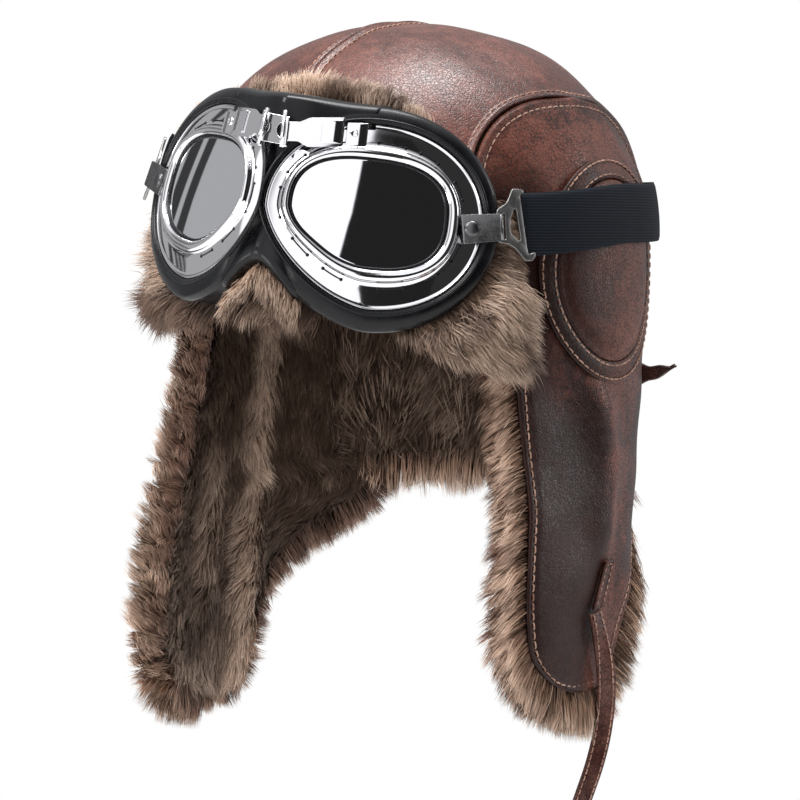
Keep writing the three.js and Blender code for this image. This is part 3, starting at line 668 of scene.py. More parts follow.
def tieStrap():
    line, way = tieLine()
    length = np.linalg.norm(np.diff(line, axis=0), axis=1).sum()

    def place(u, v):
        i = np.rint(v * tie["steps"]).astype(int)
        face = tieFace(v)
        across = unit(np.cross(way[i], face))
        face = unit(np.cross(across, way[i]))
        offset = (u - 0.5) * tie["wide"]
        crown = 0.5 * (1 - (2 * u - 1) ** 4) + tie["thick"] / 2 - 0.5
        return line[i] + across * offset[:, None] + face * crown[:, None]

    form = bentGrid(8, tie["steps"], place)
    piece = panelPiece("tie_strap", form, tie["thick"], strapLeather, ["tie_left"])
    path = line[::3] * millimetre
    tuple(line[0] * millimetre)
    [tuple(p) for p in path]


tieStrap()
print("tie made")

# Leather crown

seams = {"browReach": 0.12, "backReach": 0.7, "backMiddle": -104, "backArch": -112}


def power(v, e):
    return np.sign(v) * np.abs(v) ** e


def alongSeams(s):
    n, m = 2 / roundnessAt(0.0), 2 / sideArch["squareness"]
    a = np.clip((s - seams["browReach"]) / (seams["backReach"] - seams["browReach"]), 0, 1) * math.pi
    first = s < seams["browReach"]
    last = s > seams["backReach"]
    t1 = s / seams["browReach"]
    t2 = (s - seams["backReach"]) / (1 - seams["backReach"])
    middleY = -head["halfLength"] * power(np.cos(a), n)
    middleZ = head["height"] * power(np.sin(a), n)
    archY = sideArch["middle"] - sideArch["reach"] * power(np.cos(a), m)
    archZ = sideArch["foot"] + (sideArch["top"] - sideArch["foot"]) * power(np.sin(a), m)
    middleZ = np.where(first, mix(brow["level"], 0, t1), np.where(last, mix(0, seams["backMiddle"], t2), middleZ))
    archFront = mix(brow["level"] - brow["drop"], sideArch["foot"], t1)
    archZ = np.where(first, archFront, np.where(last, mix(sideArch["foot"], seams["backArch"], t2), archZ))
    return np.stack([0 * s, middleY, middleZ], -1), archY, archZ


def seamRidge(d):
    # a doubled edge beside a seam, with the seam as a groove
    return 1.35 * smooth(4.0, 2.5, d) - 1.7 * bump(d, 0.75)


def fromArch(y, z):
    # distance inwards from the arched seam, flat on the panel
    s = np.linspace(seams["browReach"], seams["backReach"], 500)
    _, archY, archZ = alongSeams(s)
    away = np.hypot(np.ravel(y)[:, None] - archY, np.ravel(z)[:, None] - archZ)
    return away.min(1).reshape(np.shape(y))


# level and turn of the fold down the outside of a flap
foldLine = [
    (-50, 84.5), (-68, 85.7), (-85, 87.2), (-103, 87.6), (-120, 85.9), (-136.5, 83.2), (-147, 81.3), (-190, 78),
]
# the soft unevenness of the leather: its height, then for each panel the length of its waves and their seed
panelWaves = {"height": 0.5, "crown": (46, 3), "side": (40, 13), "flap": (42, 23)}


def panelRipples(panel, side, p):
    scale, seed = panelWaves[panel]
    return panelWaves["height"] * ripples(p, scale, seed + side)


def flapFold(turn, level):
    # a soft upright fold down the outside of each flap, hollow before it
    beside = turn - readRows(foldLine, level)
    reach = smooth(-48, -80, level) * smooth(-148, -124, level)
    return (3.6 * bump(beside, 6) - 1.2 * bump(beside + 15, 9)) * reach


def crownPanel(side):
    def place(u, v):
        middle, archY, archZ = alongSeams(v)
        edge = wallPoint(turnAt(archY, archZ), archZ)
        wide = np.maximum(20, np.linalg.norm(edge - middle, axis=-1))
        u = mix(u, 0.5 - 0.5 * np.cos(math.pi * u), 0.7)
        room = leather["gap"] / 2 / wide
        p = mix(middle, edge, mix(room, 1 - room, u)[:, None])
        arc = wide * 1.12
        relief = seamRidge(u * arc) + seamRidge((1 - u) * arc)
        relief += panelRipples("crown", side, p)
        return mirrored(side, onForm(p, relief))

    form = bentGrid(50, 130, place)
    name, node = sided("crown_panel", side), sided("crown", side)
    panelPiece(name, form, leather["thick"], crownLeatherPaintedLighter, [node])


def sidePanel(side):
    def place(u, v):
        s = mix(seams["browReach"], seams["backReach"], u)
        _, archY, archZ = alongSeams(s)
        shrink = 1 - 2 * leather["gap"] / sideArch["reach"]
        y = sideArch["middle"] + (archY - sideArch["middle"]) * shrink
        top = sideArch["foot"] + (archZ - sideArch["foot"]) * shrink
        z = mix(sideArch["seam"] - leather["gap"] + 0.08, top, v)
        p = wallPoint(turnAt(y, z), z)
        relief = seamRidge(fromArch(y, z)) + panelRipples("side", side, p)
        return mirrored(side, onWall(turnAt(y, z), z, relief))

    form = bentGrid(84, 46, place)
    name, node = sided("side_leather", side), sided("side_panel", side)
    panelPiece(name, form, leather["thick"], brownLeather, [node])


def flapLevel(v, low):
    return mix(sideArch["seam"] - leather["gap"], low, np.sin(v * math.pi / 2) ** 1.25)


def flapEdges(side, level):
    clear = np.where(level > -112, leather["gap"] / 2, 0)
    front = readRows(flapRows, level, 1)
    rear = readRows(flapRows, level, 2) - clear - drawnIn(side, level)
    return front, rear


def flapLeather(side):
    low = flapRows[-1][0]

    def place(u, v):
        level = flapLevel(v, low)
        front, rear = flapEdges(side, level)
        turn = mix(front, rear, u)
        p = wallPoint(turn * degree, level)
        relief = panelRipples("flap", side, p) + flapFold(turn, level)
        relief -= 0.7 * bump(turn - front - 2.2, 0.9) + 0.7 * bump(rear - turn - 2.2, 0.9)
        return lowered(side, mirrored(side, onWall(turn * degree, level, relief)))

    form = bentGrid(56, 76, place)
    name, node = sided("flap_leather", side), sided("ear_flap", side)
    panelPiece(name, form, leather["thick"], brownLeather, [node])


for side in (1, -1):
    crownPanel(side)
    sidePanel(side)
    flapLeather(side)
print("leather panels made")

# Stitches: short raised threads along a path, each end sunk into the leather

stitchLook = {"length": 3.0, "gap": 1.0, "radius": 0.34, "rise": 0.22, "sunk": -0.3, "sides": 5}
strapStitch = {**stitchLook, "length": 2.4, "gap": 0.9, "radius": 0.26}
tabStitch = {**strapStitch, "length": 2.2}
seamInset = {"middle": 3.9, "arch": 4.0, "flap": 2.2}


def stitched(path, ups, look=stitchLook):
    run = runAlong(path)
    starts = np.arange(0.5, run[-1] - look["length"], look["length"] + look["gap"])
    share = np.array([0, 0.22, 0.78, 1])
    heights = np.array([look["sunk"], look["rise"], look["rise"], look["sunk"]])
    at = starts[:, None] + share * look["length"]
    spine = np.stack([np.interp(at, run, path[:, k]) for k in range(3)], -1)
    up = unit(np.stack([np.interp(at, run, ups[:, k]) for k in range(3)], -1))
    spine = spine + up * heights[:, None]
    way = unit(np.gradient(spine, axis=1))
    aside = unit(np.cross(way, up))
    over = np.cross(aside, way)
    n = look["sides"]
    angle = np.arange(n) / n * 2 * math.pi
    ring = np.cos(angle)[:, None] * aside[:, :, None] + np.sin(angle)[:, None] * over[:, :, None]
    points = (spine[:, :, None] + look["radius"] * ring).reshape(-1, 3)
    spots = [(n * k, i, (i + 1) % n) for k in range(len(share) - 1) for i in range(n)]
    one = np.array([(k + i, k + j, k + n + j, k + n + i) for k, i, j in spots])
    faces = (np.arange(len(starts))[:, None, None] * n * len(share) + one[None]).reshape(-1, 4)
    return points, faces


def stitchPiece(name, rows):
    points, faces, total = [], [], 0
    for made, pattern in rows:
        points.append(made)
        faces.append(pattern + total)
        total += len(made)
    data = meshOf(name, np.concatenate(points), np.concatenate(faces))
    form = bmesh.new()
    form.from_mesh(data)
    bpy.data.meshes.remove(data)
    bmesh.ops.recalc_face_normals(form, faces=form.faces)
    return finishPiece(name, form, thread)


def seamStitches(side):
    s = np.linspace(0.03, 0.97, 400)
    middle, archY, archZ = alongSeams(s)
    beside = middle + np.array([seamInset["middle"], 0, 0])
    edge = wallPoint(turnAt(archY, archZ), archZ)
    wide = np.linalg.norm(edge - middle, axis=-1, keepdims=True)
    outer = mix(middle, edge, 1 - seamInset["arch"] / np.maximum(20, wide))
    rows = []
    for q in (beside, outer):
        relief = panelRipples("crown", side, q)
        low, high = onForm(q, 0.1 + relief), onForm(q, 1.1 + relief)
        rows.append(stitched(mirrored(side, low), mirrored(side, unit(high - low))))
    inside = (s > seams["browReach"] + 0.01) & (s < seams["backReach"] - 0.01)
    y, z = archY[inside], archZ[inside]
    way = unit(np.stack([np.gradient(y), np.gradient(z)], 1))
    y, z = y + way[:, 1] * seamInset["arch"], z - way[:, 0] * seamInset["arch"]
    turn = turnAt(y, z)
    path = mirrored(side, onWall(turn, z, 0.15 + panelRipples("side", side, wallPoint(turn, z))))
    rows.append(stitched(path, mirrored(side, wallNormal(turn, z))))
    return rows


def flapStitches(side):
    levels = np.linspace(-40, flapRows[-1][0] + 2.0, 300)
    fronts, rears = flapEdges(side, levels)
    span = np.maximum(rears - fronts, 0.1)
    inset = np.minimum(seamInset["flap"], span * 0.42)
    turns = np.concatenate([fronts + inset, (rears - inset)[levels < -116][::-1]])
    heights = np.concatenate([levels, levels[levels < -116][::-1]])
    heights = heights + 2.6 * smooth(-188, -199, heights)
    relief = flapFold(turns, heights) + panelRipples("flap", side, wallPoint(turns * degree, heights))
    path = lowered(side, mirrored(side, onWall(turns * degree, heights, relief - 0.35)))
    return [stitched(path, mirrored(side, wallNormal(turns * degree, heights)))]


stitchPiece("seam_stitches", [row for side in (1, -1) for row in seamStitches(side) + flapStitches(side)])
print("seams stitched")

# Ear ovals

earOval = {"y": 2, "z": -16.5, "wide": 47, "high": 48.5, "band": 9, "ease": 0.9, "rise": 1.2}
# share of the way out from the middle, and how far the pad stands off the wall there
earPadRows = [
    (0.999, 0.5), (1, 1.2), (0.99, 1.9), (0.96, 2.1), (0.93, 1.9), (0.88, 2.7), (0.8, 3.1), (0.6, 3.3), (0.3, 3.3),
    (0.06, 3.3),
]
earAngles = np.arange(120) / 120 * 2 * math.pi


def onEar(side, angle, inset, out):
    y = earOval["y"] + (earOval["wide"] - inset) * np.cos(angle)
    z = earOval["z"] + (earOval["high"] - inset) * np.sin(angle)
    return mirrored(side, onWall(turnAt(y, z), z, out))


def earRing(side):
    band, top = earOval["band"], earOval["ease"] + earOval["rise"]
    rows = [
        (0, 0.5), (0, top - 0.3), (0.5, top), (2.2, top - 0.25), (3.5, top + 0.3), (band - 2, top + 0.1),
        (band - 0.4, top - 0.2), (band, top - 0.6), (band, 0.5),
    ]
    rings = [onEar(side, earAngles, inset, np.full(len(earAngles), out)) for inset, out in rows]
    finishPiece(sided("ear_band", side), closedRound(rings), ringLeather, [sided("ear_ring", side)])


def earPad(side):
    reach = earOval["band"] + leather["gap"]
    rings = []
    for t, out in earPadRows:
        y = earOval["y"] + (earOval["wide"] - reach) * t * np.cos(earAngles)
        z = earOval["z"] + (earOval["high"] - reach) * t * np.sin(earAngles)
        rings.append(mirrored(side, onWall(turnAt(y, z), z, np.full(len(earAngles), out))))
    finishPiece(sided("ear_middle", side), loft(rings), padLeather, [sided("ear_pad", side)])


for side in (1, -1):
    earRing(side)
    earPad(side)


def earStitches(side):
    angle = np.linspace(0, 2 * math.pi, 300)
    top = np.full(300, earOval["ease"] + earOval["rise"])
    rows = []
    for inset in (1.5, earOval["band"] - 1.6):
        low, high = onEar(side, angle, inset, top + 0.02), onEar(side, angle, inset, top + 1.02)
        rows.append(stitched(low, unit(high - low)))
    return rows


stitchPiece("ear_stitches", earStitches(1) + earStitches(-1))
print("ear ovals made")

# Goggles: x runs outwards from a half's middle, y up and h out of its face

goggles = {"apart": 40.5, "forward": 117, "height": 12.5, "splay": 32, "lean": 9, "roll": 8, "turn": 8}
lensSize = {"wide": 33, "high": 22.8, "x": -2.6, "y": 0.5, "squareness": 0.76, "cut": 0.18}
plateSize = {"wide": 45, "high": 37.8, "x": 0, "y": -0.5, "squareness": 0.97, "cut": 0.11}
padRim = {"side": 7.5, "top": 8.2, "bottom": 9.5, "nose": 1.4, "seat": 0.6}
nosePiece = {"low": -24, "high": 48.3, "reach": 40, "front": -3.4, "topFront": -1.3, "deep": 9, "half": 24}
padSeat = 8.5  # how far off the crown the pad's back lies, on the pressed fur
# share of the way out past the plate, and height of the pad's face there
padFace = [
    (2, -5.5), (1.95, -3.4), (1.75, -2), (1.45, -1), (1.2, -0.5), (1.06, -0.7), (1.001, -1.6), (1, -3.8),
    (0.5, -3.8), (0.02, -3.8),
]


def goggleFrame(side):
    splay, lean = goggles["splay"] * degree, goggles["lean"] * degree
    face = np.array([math.sin(splay), -math.cos(splay), 0])
    up = np.array([0, 0, math.cos(lean)]) - face * math.sin(lean)
    normal = face * math.cos(lean) + np.array([0, 0, math.sin(lean)])
    out = np.array([math.cos(splay), math.sin(splay), 0])
    axes = np.array([out, up, normal, [goggles["apart"], -goggles["forward"], 0]]) * [side, 1, 1]
    roll, turn = goggles["roll"] * degree, goggles["turn"] * degree
    rolled = np.array([[math.cos(roll), 0, math.sin(roll)], [0, 1, 0], [-math.sin(roll), 0, math.cos(roll)]])
    turned = np.array([[math.cos(turn), -math.sin(turn), 0], [math.sin(turn), math.cos(turn), 0], [0, 0, 1]])
    axes = axes @ (turned @ rolled).T
    axes[3, 2] += goggles["height"]
    return axes


goggleFrames = {side: goggleFrame(side) for side in (1, -1)}


def onGoggles(side, x, y, h):
    out, up, normal, middle = goggleFrames[side]
    x, y, h = np.broadcast_arrays(x, y, h)
    return middle + x[..., None] * out + y[..., None] * up + h[..., None] * normal


def oval(size, angle, t=1.0):
    c, n = np.cos(angle), np.sin(angle)
    cut = 1 - size["cut"] * 2 * np.maximum(0, -c) * np.maximum(0, -n)
    x = size["x"] + size["wide"] * t * cut * power(c, size["squareness"])
    return x, size["y"] + size["high"] * t * cut * power(n, size["squareness"])


def between(angle, t):
    (ax, ay), (bx, by) = oval(lensSize, angle), oval(plateSize, angle)
    return mix(ax, bx, t), mix(ay, by, t)


def padBack(side, x, y):
    # how deep behind the plates the pad meets its seat, found by halving
    near, far = np.zeros(np.broadcast(x, y).shape), np.full(np.broadcast(x, y).shape, -70.0)
    for _ in range(24):
        middle = (near + far) / 2
        off = standOff(onGoggles(side, x, y, middle)) > padSeat
        near, far = np.where(off, middle, near), np.where(off, far, middle)
    return np.minimum(far, -7)


def padOutline(angle, t):
    # the plate's oval up to 1, and from there out over the pad's rim to 2
    if t <= 1:
        return oval(plateSize, angle, t)
    x, y = oval(plateSize, angle)
    noseward = smooth(-0.55, -0.95, np.cos(angle))
    rim = mix(padRim["side"], np.where(np.sin(angle) > 0, padRim["top"], padRim["bottom"]), np.sin(angle) ** 2)
    out = mix(padRim["seat"], mix(rim, padRim["nose"], noseward), t - 1)
    return x + out * np.cos(angle), y + out * np.sin(angle)


def evenAngles(size, count):
    # angles that step evenly along an oval's edge
    fine = np.linspace(0, 2 * math.pi, 4001)
    edge = np.stack(oval(size, fine), 1)
    run = runAlong(edge)
    return np.interp(np.arange(count) / count * run[-1], run, fine)


def padHalf(side):
    angle = evenAngles(plateSize, 96)
    rings = []
    for t in (0.02, 0.5, 1, 1.8):
        x, y = padOutline(angle, t)
        rings.append(onGoggles(side, x, y, padBack(side, x, y)))
    for t, h in padFace:
        rings.append(onGoggles(side, *padOutline(angle, t), h))
    return loft(rings)


def noseLine(y, h):
    # where a half's own plane meets the middle plane between the halves
    lean, splay = goggles["lean"] * degree, goggles["splay"] * degree
    return -(goggles["apart"] + (h * math.cos(lean) - y * math.sin(lean)) * math.sin(splay)) / math.cos(splay)


def noseLow(d):
    # the notch's edge, at a distance d from the middle plane
    return nosePiece["low"] - 15 * (d / 20) ** 1.3


def nosePad():
    # the web between the halves: a bowed bar with a rounded lip round the notch for the nose
    share = np.linspace(-1, 1, 45)
    d = np.abs(share) * nosePiece["reach"]
    low = np.maximum(-38, noseLow(d))
    high = nosePiece["high"] - 1.7 * np.sin(np.minimum(1, d / 30) * math.pi / 2) ** 2
    rings = []
    lowRounding, highRounding = [0, 0.004, 0.012, 0.03, 0.055], [0.945, 0.97, 0.988, 0.996, 1]
    for v in np.concatenate([lowRounding, np.linspace(0.09, 0.91, 16), highRounding]):
        y = mix(low, high, v)
        inset = np.minimum(v, 1 - v) * (high - low)
        fall = 1 - np.sqrt(np.maximum(0, 1 - (1 - np.clip(inset / 4.5, 0, 1)) ** 2))
        rolled = bump(v * (high - low) - 5, 3)
        crest = mix(nosePiece["front"], nosePiece["topFront"], smooth(27, 37, y))
        front = crest - 2.4 * bump(d, 7) * (1 - 0.6 * smooth(27, 37, y)) + rolled
        face, behind = [], []
        for side, keep in ((-1, share < 0), (1, share >= 0)):
            x = noseLine(y[keep], front[keep]) + d[keep]
            back = padBack(side, x, y[keep])
            back = np.maximum(back, front[keep] - nosePiece["deep"] - 30 * smooth(-14, 4, y[keep]))
            half = (front[keep] + back) / 2
            h = mix(front[keep], half, fall[keep])
            x = noseLine(y[keep], h) + d[keep]
            face.append(onGoggles(side, x, y[keep], h))
            h = mix(back, half, fall[keep])
            x = noseLine(y[keep], h) + d[keep]
            behind.append(onGoggles(side, x, y[keep], h))
        rings.append(np.concatenate([*face, np.concatenate(behind)[::-1]]))
    return loft(rings)


lip = {"out": 2.2, "radius": 0.75, "h": -0.95}


def padLip(side):
    # a thin raised lip round each plate
    angle = evenAngles(plateSize, 120)
    x, y = oval(plateSize, angle)
    rings = []
    for k in range(8):
        around = k / 8 * 2 * math.pi
        off = lip["out"] + lip["radius"] * math.cos(around)
        h = lip["h"] + lip["radius"] * math.sin(around)
        rings.append(onGoggles(side, x + off * np.cos(angle), y + off * np.sin(angle), h))
    return closedRound(rings)


def gogglePads():
    pads = joined([padHalf(1), padHalf(-1), nosePad(), padLip(1), padLip(-1)])
    piece = finishPiece("goggle_pad_rubber", pads, rubber, ["goggle_pad"])


def plateHeight(t):
    return mix(0.6, -2.2, t**1.5)


def gogglePlate(side):
    angle = evenAngles(plateSize, 128)
    # share of the way from the lens's edge to the plate's, and height there
    rim = [(0, -1), (0, 1.6), (0.03, 2.4), (0.08, 3), (0.15, 3.25), (0.22, 3.05)]
    rim += [(0.28, 2.4), (0.31, 1.2), (0.33, 0.5)]
    slope = [(t, plateHeight(t)) for t in (0.38, 0.5, 0.62, 0.74, 0.86, 0.94)]
    bead = [(0.97, plateHeight(0.97) + 0.5), (0.99, plateHeight(0.99) + 0.7), (1.02, plateHeight(1) + 0.4)]
    under = [(1.02, -2.4), (1, -3), (0.4, -1.2)]
    rings = [onGoggles(side, *between(angle, t), h) for t, h in rim + slope + bead + under]
    finishPiece(sided("goggle_chrome", side), closedRound(rings), chrome, [sided("goggle_plate", side)])


def goggleLens(side):
    angle = evenAngles(lensSize, 128)
    gap = leather["gap"]
    size = {**lensSize, "wide": lensSize["wide"] - gap, "high": lensSize["high"] - gap}
    rings = []
    for t, drop in [(1, 2.0), (1, 0.2), (0.985, 0)] + [(t, 0) for t in (0.95, 0.8, 0.6, 0.4, 0.2, 0.04)]:
        x, y = oval(size, angle, t)
        dome = ((x - size["x"]) / size["wide"]) ** 2 + ((y - size["y"]) / size["high"]) ** 2
        rings.append(onGoggles(side, x, y, 1.45 - 0.6 * dome - drop))
    name, node = sided("goggle_mirror", side), sided("goggle_lens", side)
    finishPiece(name, loft(rings), mirrorLens, [node])


def filleted(points, radius, steps=4):
    # an outline with its corners rounded
    made = []
    for i, corner in enumerate(points):
        corner = np.array(corner, float)
        before, after = np.array(points[i - 1]) - corner, np.array(points[(i + 1) % len(points)]) - corner
        r = min(radius, 0.42 * np.linalg.norm(before), 0.42 * np.linalg.norm(after))
        start, end = corner + unit(before) * r, corner + unit(after) * r
        for t in np.linspace(0, 1, steps):
            made.append((1 - t) ** 2 * start + 2 * t * (1 - t) * corner + t * t * end)
    return made


def stamped(outlines, thick, place, soften=0.25):
    # a flat outline with its holes, given a thickness and softened edges, and laid out by place
    form = bmesh.new()
    for outline in outlines:
        made = bmesh.ops.create_circle(form, segments=len(outline), radius=1)["verts"]
        for v, (x, y) in zip(made, outline):
            v.co = (x, y, 0)
    bmesh.ops.triangle_fill(form, use_beauty=True, edges=form.edges[:])
    grown = bmesh.ops.extrude_face_region(form, geom=form.faces[:])["geom"]
    bmesh.ops.translate(form, verts=[v for v in grown if isinstance(v, bmesh.types.BMVert)], vec=(0, 0, thick))
    bmesh.ops.recalc_face_normals(form, faces=form.faces)
    rims = [e for e in form.edges if len(e.link_faces) == 2 and e.calc_face_angle() > 0.9]
    bmesh.ops.bevel(
        form, geom=rims, offset=soften, segments=2, profile=0.5, affect="EDGES", material=-1, clamp_overlap=True
    )
    spots = np.array([v.co[:] for v in form.verts])
    for v, p in zip(form.verts, place(spots[:, 0], spots[:, 1], spots[:, 2]) * millimetre):
        v.co = p
    bmesh.ops.recalc_face_normals(form, faces=form.faces)
    return form


def slab(x0, y0, x1, y1, thick, place, radius=0.6, soften=0.25):
    return stamped([filleted([(x0, y0), (x1, y0), (x1, y1), (x0, y1)], radius)], thick, place, soften)


def rod(start, end, radius, place, sides=14):
    # a round rod between two points of a half's own room
    start, end = np.array(start, float), np.array(end, float)
    way = unit(end - start)
    a = unit(np.cross(way, [0.3, 0.2, 0.9]))
    b = np.cross(way, a)
    angle = np.arange(sides) / sides * 2 * math.pi
    rings = []
    length = np.linalg.norm(end - start)
    for along, r in ((0, 0.6), (0.08, 1), (length / radius - 0.08, 1), (length / radius, 0.6)):
        centre = start + way * along * radius
        ring = centre + radius * r * (np.cos(angle)[:, None] * a + np.sin(angle)[:, None] * b)
        rings.append(place(ring[:, 0], ring[:, 1], ring[:, 2]))
    return loft(rings)


def turned(profile, place, sides=28):
    # a profile of radius and height, turned round
    angle = np.arange(sides) / sides * 2 * math.pi
    return loft([place(r * np.cos(angle), r * np.sin(angle), np.full(sides, h)) for r, h in profile])


def gasket(side):
    # the dark groove between a lens and its rim
    angle = evenAngles(lensSize, 128)
    rows = [(0.955, 0.9), (0.96, 1.3), (0.975, 1.45), (0.99, 1.4), (1.0, 1.1), (0.99, 0.8)]
    return closedRound([onGoggles(side, *oval(lensSize, angle, t), h) for t, h in rows])


slotLook = {"share": 0.47, "half": 0.3, "dot": 0.75, "thick": 0.5, "sunk": 0.35}
# from which to which angle round the lens each slot runs
slots = [
    (-13, -27), (18, 33), (52, 66), (76, 90), (100, 122), (137, 156), (169, 188), (207, 226), (243, 258),
    (277, 292), (318, 333),
]


def plateSlots(side):
    forms = []
    h, dot = plateHeight(slotLook["share"]), slotLook["dot"]
    for a0, a1 in slots:
        angle = np.linspace(a0, a1, 9) * degree
        x, y = between(angle, slotLook["share"])
        spine = np.stack([x, y], 1)
        way = unit(np.gradient(spine, axis=0))
        aside = np.stack([-way[:, 1], way[:, 0]], 1) * slotLook["half"]
        outline = np.concatenate([spine + aside, (spine - aside)[::-1]])
        lifted = lambda x, y, z: onGoggles(side, x, y, h - slotLook["sunk"] + z)
        forms.append(stamped([outline], slotLook["thick"], lifted, 0.05))
        for x0, y0 in (spine[0], spine[-1]):
            spot = lambda x, y, z, x0=x0, y0=y0: onGoggles(side, x0 + x, y0 + y, h - 0.3 + z)
            forms.append(turned([(dot, 0), (dot, 0.45), (0.6 * dot, 0.55)], spot, 12))
    return forms


def goggleTrims():
    for side in (1, -1):
        dark = joined([gasket(side), *plateSlots(side)])
        finishPiece(sided("goggle_dark", side), dark, rubber)


gogglePads()
for side in (1, -1):
    gogglePlate(side)
    goggleLens(side)
goggleTrims()
print("goggles made")

# Bridge: hinged plates over the nose

bridge = {
    "y": 30.6, "half": 4.9, "h": 2.3, "thick": 1.2, "fold": -39.6, "foldHigh": 6.9, "foldOut": 2.6, "rise": 0.05,
    "tilt": {1: 0.09, -1: -0.05}, "biteDeep": 0.62, "biteHigh": 3.2,
}


def bridgePlate(side):
    y, half, fold = bridge["y"], bridge["half"], bridge["fold"]
    tilt = bridge["tilt"][side]

    def place(x, v, h):
        return onGoggles(side, x, y + v + tilt * (x + 28), bridge["h"] + h - 1.0 + bridge["rise"] * (x + 40))

    lower, upper = -half - 0.6, half + 1.6
    outline = [
        (fold - 0.3, -half + 1.2), (-34.6, -half + 1.2), (-30.6, lower - 0.4), (-16.4, lower), (-16.4, upper),
        (-30.6, upper - 0.3), (-34.6, half - 0.6), (fold - 0.3, half - 0.6),
    ]
    forms = [stamped([filleted(outline, 0.9)], bridge["thick"], place, 0.3)]
    raisedPlace = lambda x, v, h: place(x, v, h + bridge["thick"] - 0.2)
    forms.append(slab(-25.6, lower + 1.2, -16.9, upper - 1.1, 0.9, raisedPlace, 0.7, 0.35))
    loose = lambda x, v, h: place(x, v - 0.4, h - 0.5)
    forms.append(slab(-15.2, lower + 0.8, -6.6, upper - 1.6, 1.0, loose, 0.5, 0.25))
    rivet = lambda x, v, h: place(x - 12.2, v + 0.2, h + 0.4)
    forms.append(turned([(1.7, 0), (1.7, 0.5), (1.5, 0.72), (1.2, 0.72), (1.0, 0.5), (0.4, 0.45)], rivet, 20))
    # the folded end that the hinge's pin runs through
    high, out = bridge["foldHigh"], bridge["foldOut"]
    stand = lambda x, v, h: place(fold + h - 0.6, v, x)
    forms.append(slab(-0.4, -high + 0.6, out, high - 0.6, 1.1, stand, 0.8, 0.3))
    finishPiece(sided("bridge_hinge", side), joined(forms), chrome, [sided("bridge_plate", side)])


def bridgeLink():
    y, high = bridge["y"], bridge["foldHigh"]

    def across(x, v, h):
        # x from -1 at the right half's fold to 1 at the left half's
        left = onGoggles(1, np.full_like(x, bridge["fold"] - 1.6), y + v - 0.6, bridge["h"] + 0.3 + h)
        right = onGoggles(-1, np.full_like(x, bridge["fold"] - 1.6), y + v - 0.2, bridge["h"] + 0.3 + h)
        return mix(right, left, (x[:, None] + 1) / 2)

    # a round bite out of either side leaves the plate waisted
    half, deep, tall = high - 1, bridge["biteDeep"], bridge["biteHigh"]
    angle = np.linspace(-90, 90, 9) * degree
    leftBite = [(1 - deep * math.cos(a), tall * math.sin(a)) for a in angle]
    rightBite = [(-1 + deep * math.cos(a), tall * math.sin(a)) for a in angle[::-1]]
    outline = [(-1, -half), (1, -half), *leftBite, (1, half), (-1, half), *rightBite]
    wide = np.linalg.norm(across(np.array([1.0]), 0.0, 0.0) - across(np.array([-1.0]), 0.0, 0.0)) / 2
    scaled = [(x * wide, v) for x, v in outline]
    plate = stamped([scaled], 1.0, lambda x, v, h: across(x / wide, v, h), 0.15)
    pins = []
    for side in (1, -1):
        place = lambda x, v, h, side=side: onGoggles(side, x, v, h)
        x, h = bridge["fold"] - 1.5, bridge["h"] + 0.9
        pins.append(rod((x, y - high - 0.7, h), (x, y + high + 0.7, h), 0.95, place))
    finishPiece("bridge_plate_and_pins", joined([plate, *pins]), chrome, ["bridge_link"])


for side in (1, -1):
    bridgePlate(side)
bridgeLink()
print("bridge made")

# Side brackets, with stamped buckles for the band

bracket = {"x": 40.5, "y": -0.8, "turn": 9, "high": 12, "from": -4.3, "to": 12.4, "h": 0.9, "thick": 1.3}
studProfile = [(3.4, -0.3), (3.4, 0.35), (3.1, 0.9), (2.4, 1.35), (1.4, 1.6), (0.4, 1.68)]
buckle = {"turn": 24, "start": 10.5, "thick": 1.2}
buckleOutline = [
    (0, -5.8), (5, -6.6), (8.2, -8.3), (11.8, -12.5), (13.2, -13.6), (16.5, -13.6), (18, -11.5), (17.6, -9.8),
    (16.2, -10.4), (14.6, -11), (13.9, -9), (11.4, 14), (13.6, 14.6), (13, 16.2), (7.8, 16.4), (6.9, 14.2),
    (4.8, 10.3), (1.5, 8.6), (0, 7.4),
]
buckleSlot = [(2.6, -4.6), (2.6, 6), (3.8, 6), (3.8, -4.6)]
buckleOpening = [(8.4, 8.2), (6.4, 3.8), (6, -1.7), (10.2, -5.6), (11, -4.2), (9.4, 7.8)]


def onBracket(side, x, y, h):
    c, n = math.cos(bracket["turn"] * degree), math.sin(bracket["turn"] * degree)
    return onGoggles(side, bracket["x"] + x * c - y * n, bracket["y"] + x * n + y * c, h)


def onBuckle(side, x, y, h):
    c, n = math.cos(buckle["turn"] * degree), math.sin(buckle["turn"] * degree)
    level = bracket["h"] - leather["gap"] - buckle["thick"]
    return onBracket(side, buckle["start"] + x * c + h * n, y, level + h * c - x * n)


def bracketTab(side):
    low, high = -bracket["high"] / 2, bracket["high"] / 2
    near, far = bracket["from"], bracket["to"]
    outline = [(near + 0.6, low), (far, low + 0.6), (far, high - 0.2), (near, high)]
    place = lambda x, y, h: onBracket(side, x, y, bracket["h"] + h)
    onPlate = lambda x, y, h: onBracket(side, x, y, h)
    tab = stamped([filleted(outline, 0.7)], bracket["thick"], place, 0.3)
    # its outer end is rolled round the buckle's bar
    x, h = far - 0.3, bracket["h"] + 0.2
    roll = rod((x, low + 0.9, h), (x, high - 0.5, h), 1.15, onPlate)
    name, node = sided("bracket_plate", side), sided("bracket_tab", side)
    finishPiece(name, joined([tab, roll]), tabSteel, [node])
    base = bracket["h"] + bracket["thick"]
    stud = turned([(radius, base + rise) for radius, rise in studProfile], onPlate)
    finishPiece(sided("bracket_stud", side), stud, studSteel, [sided("bracket_rivet", side)])


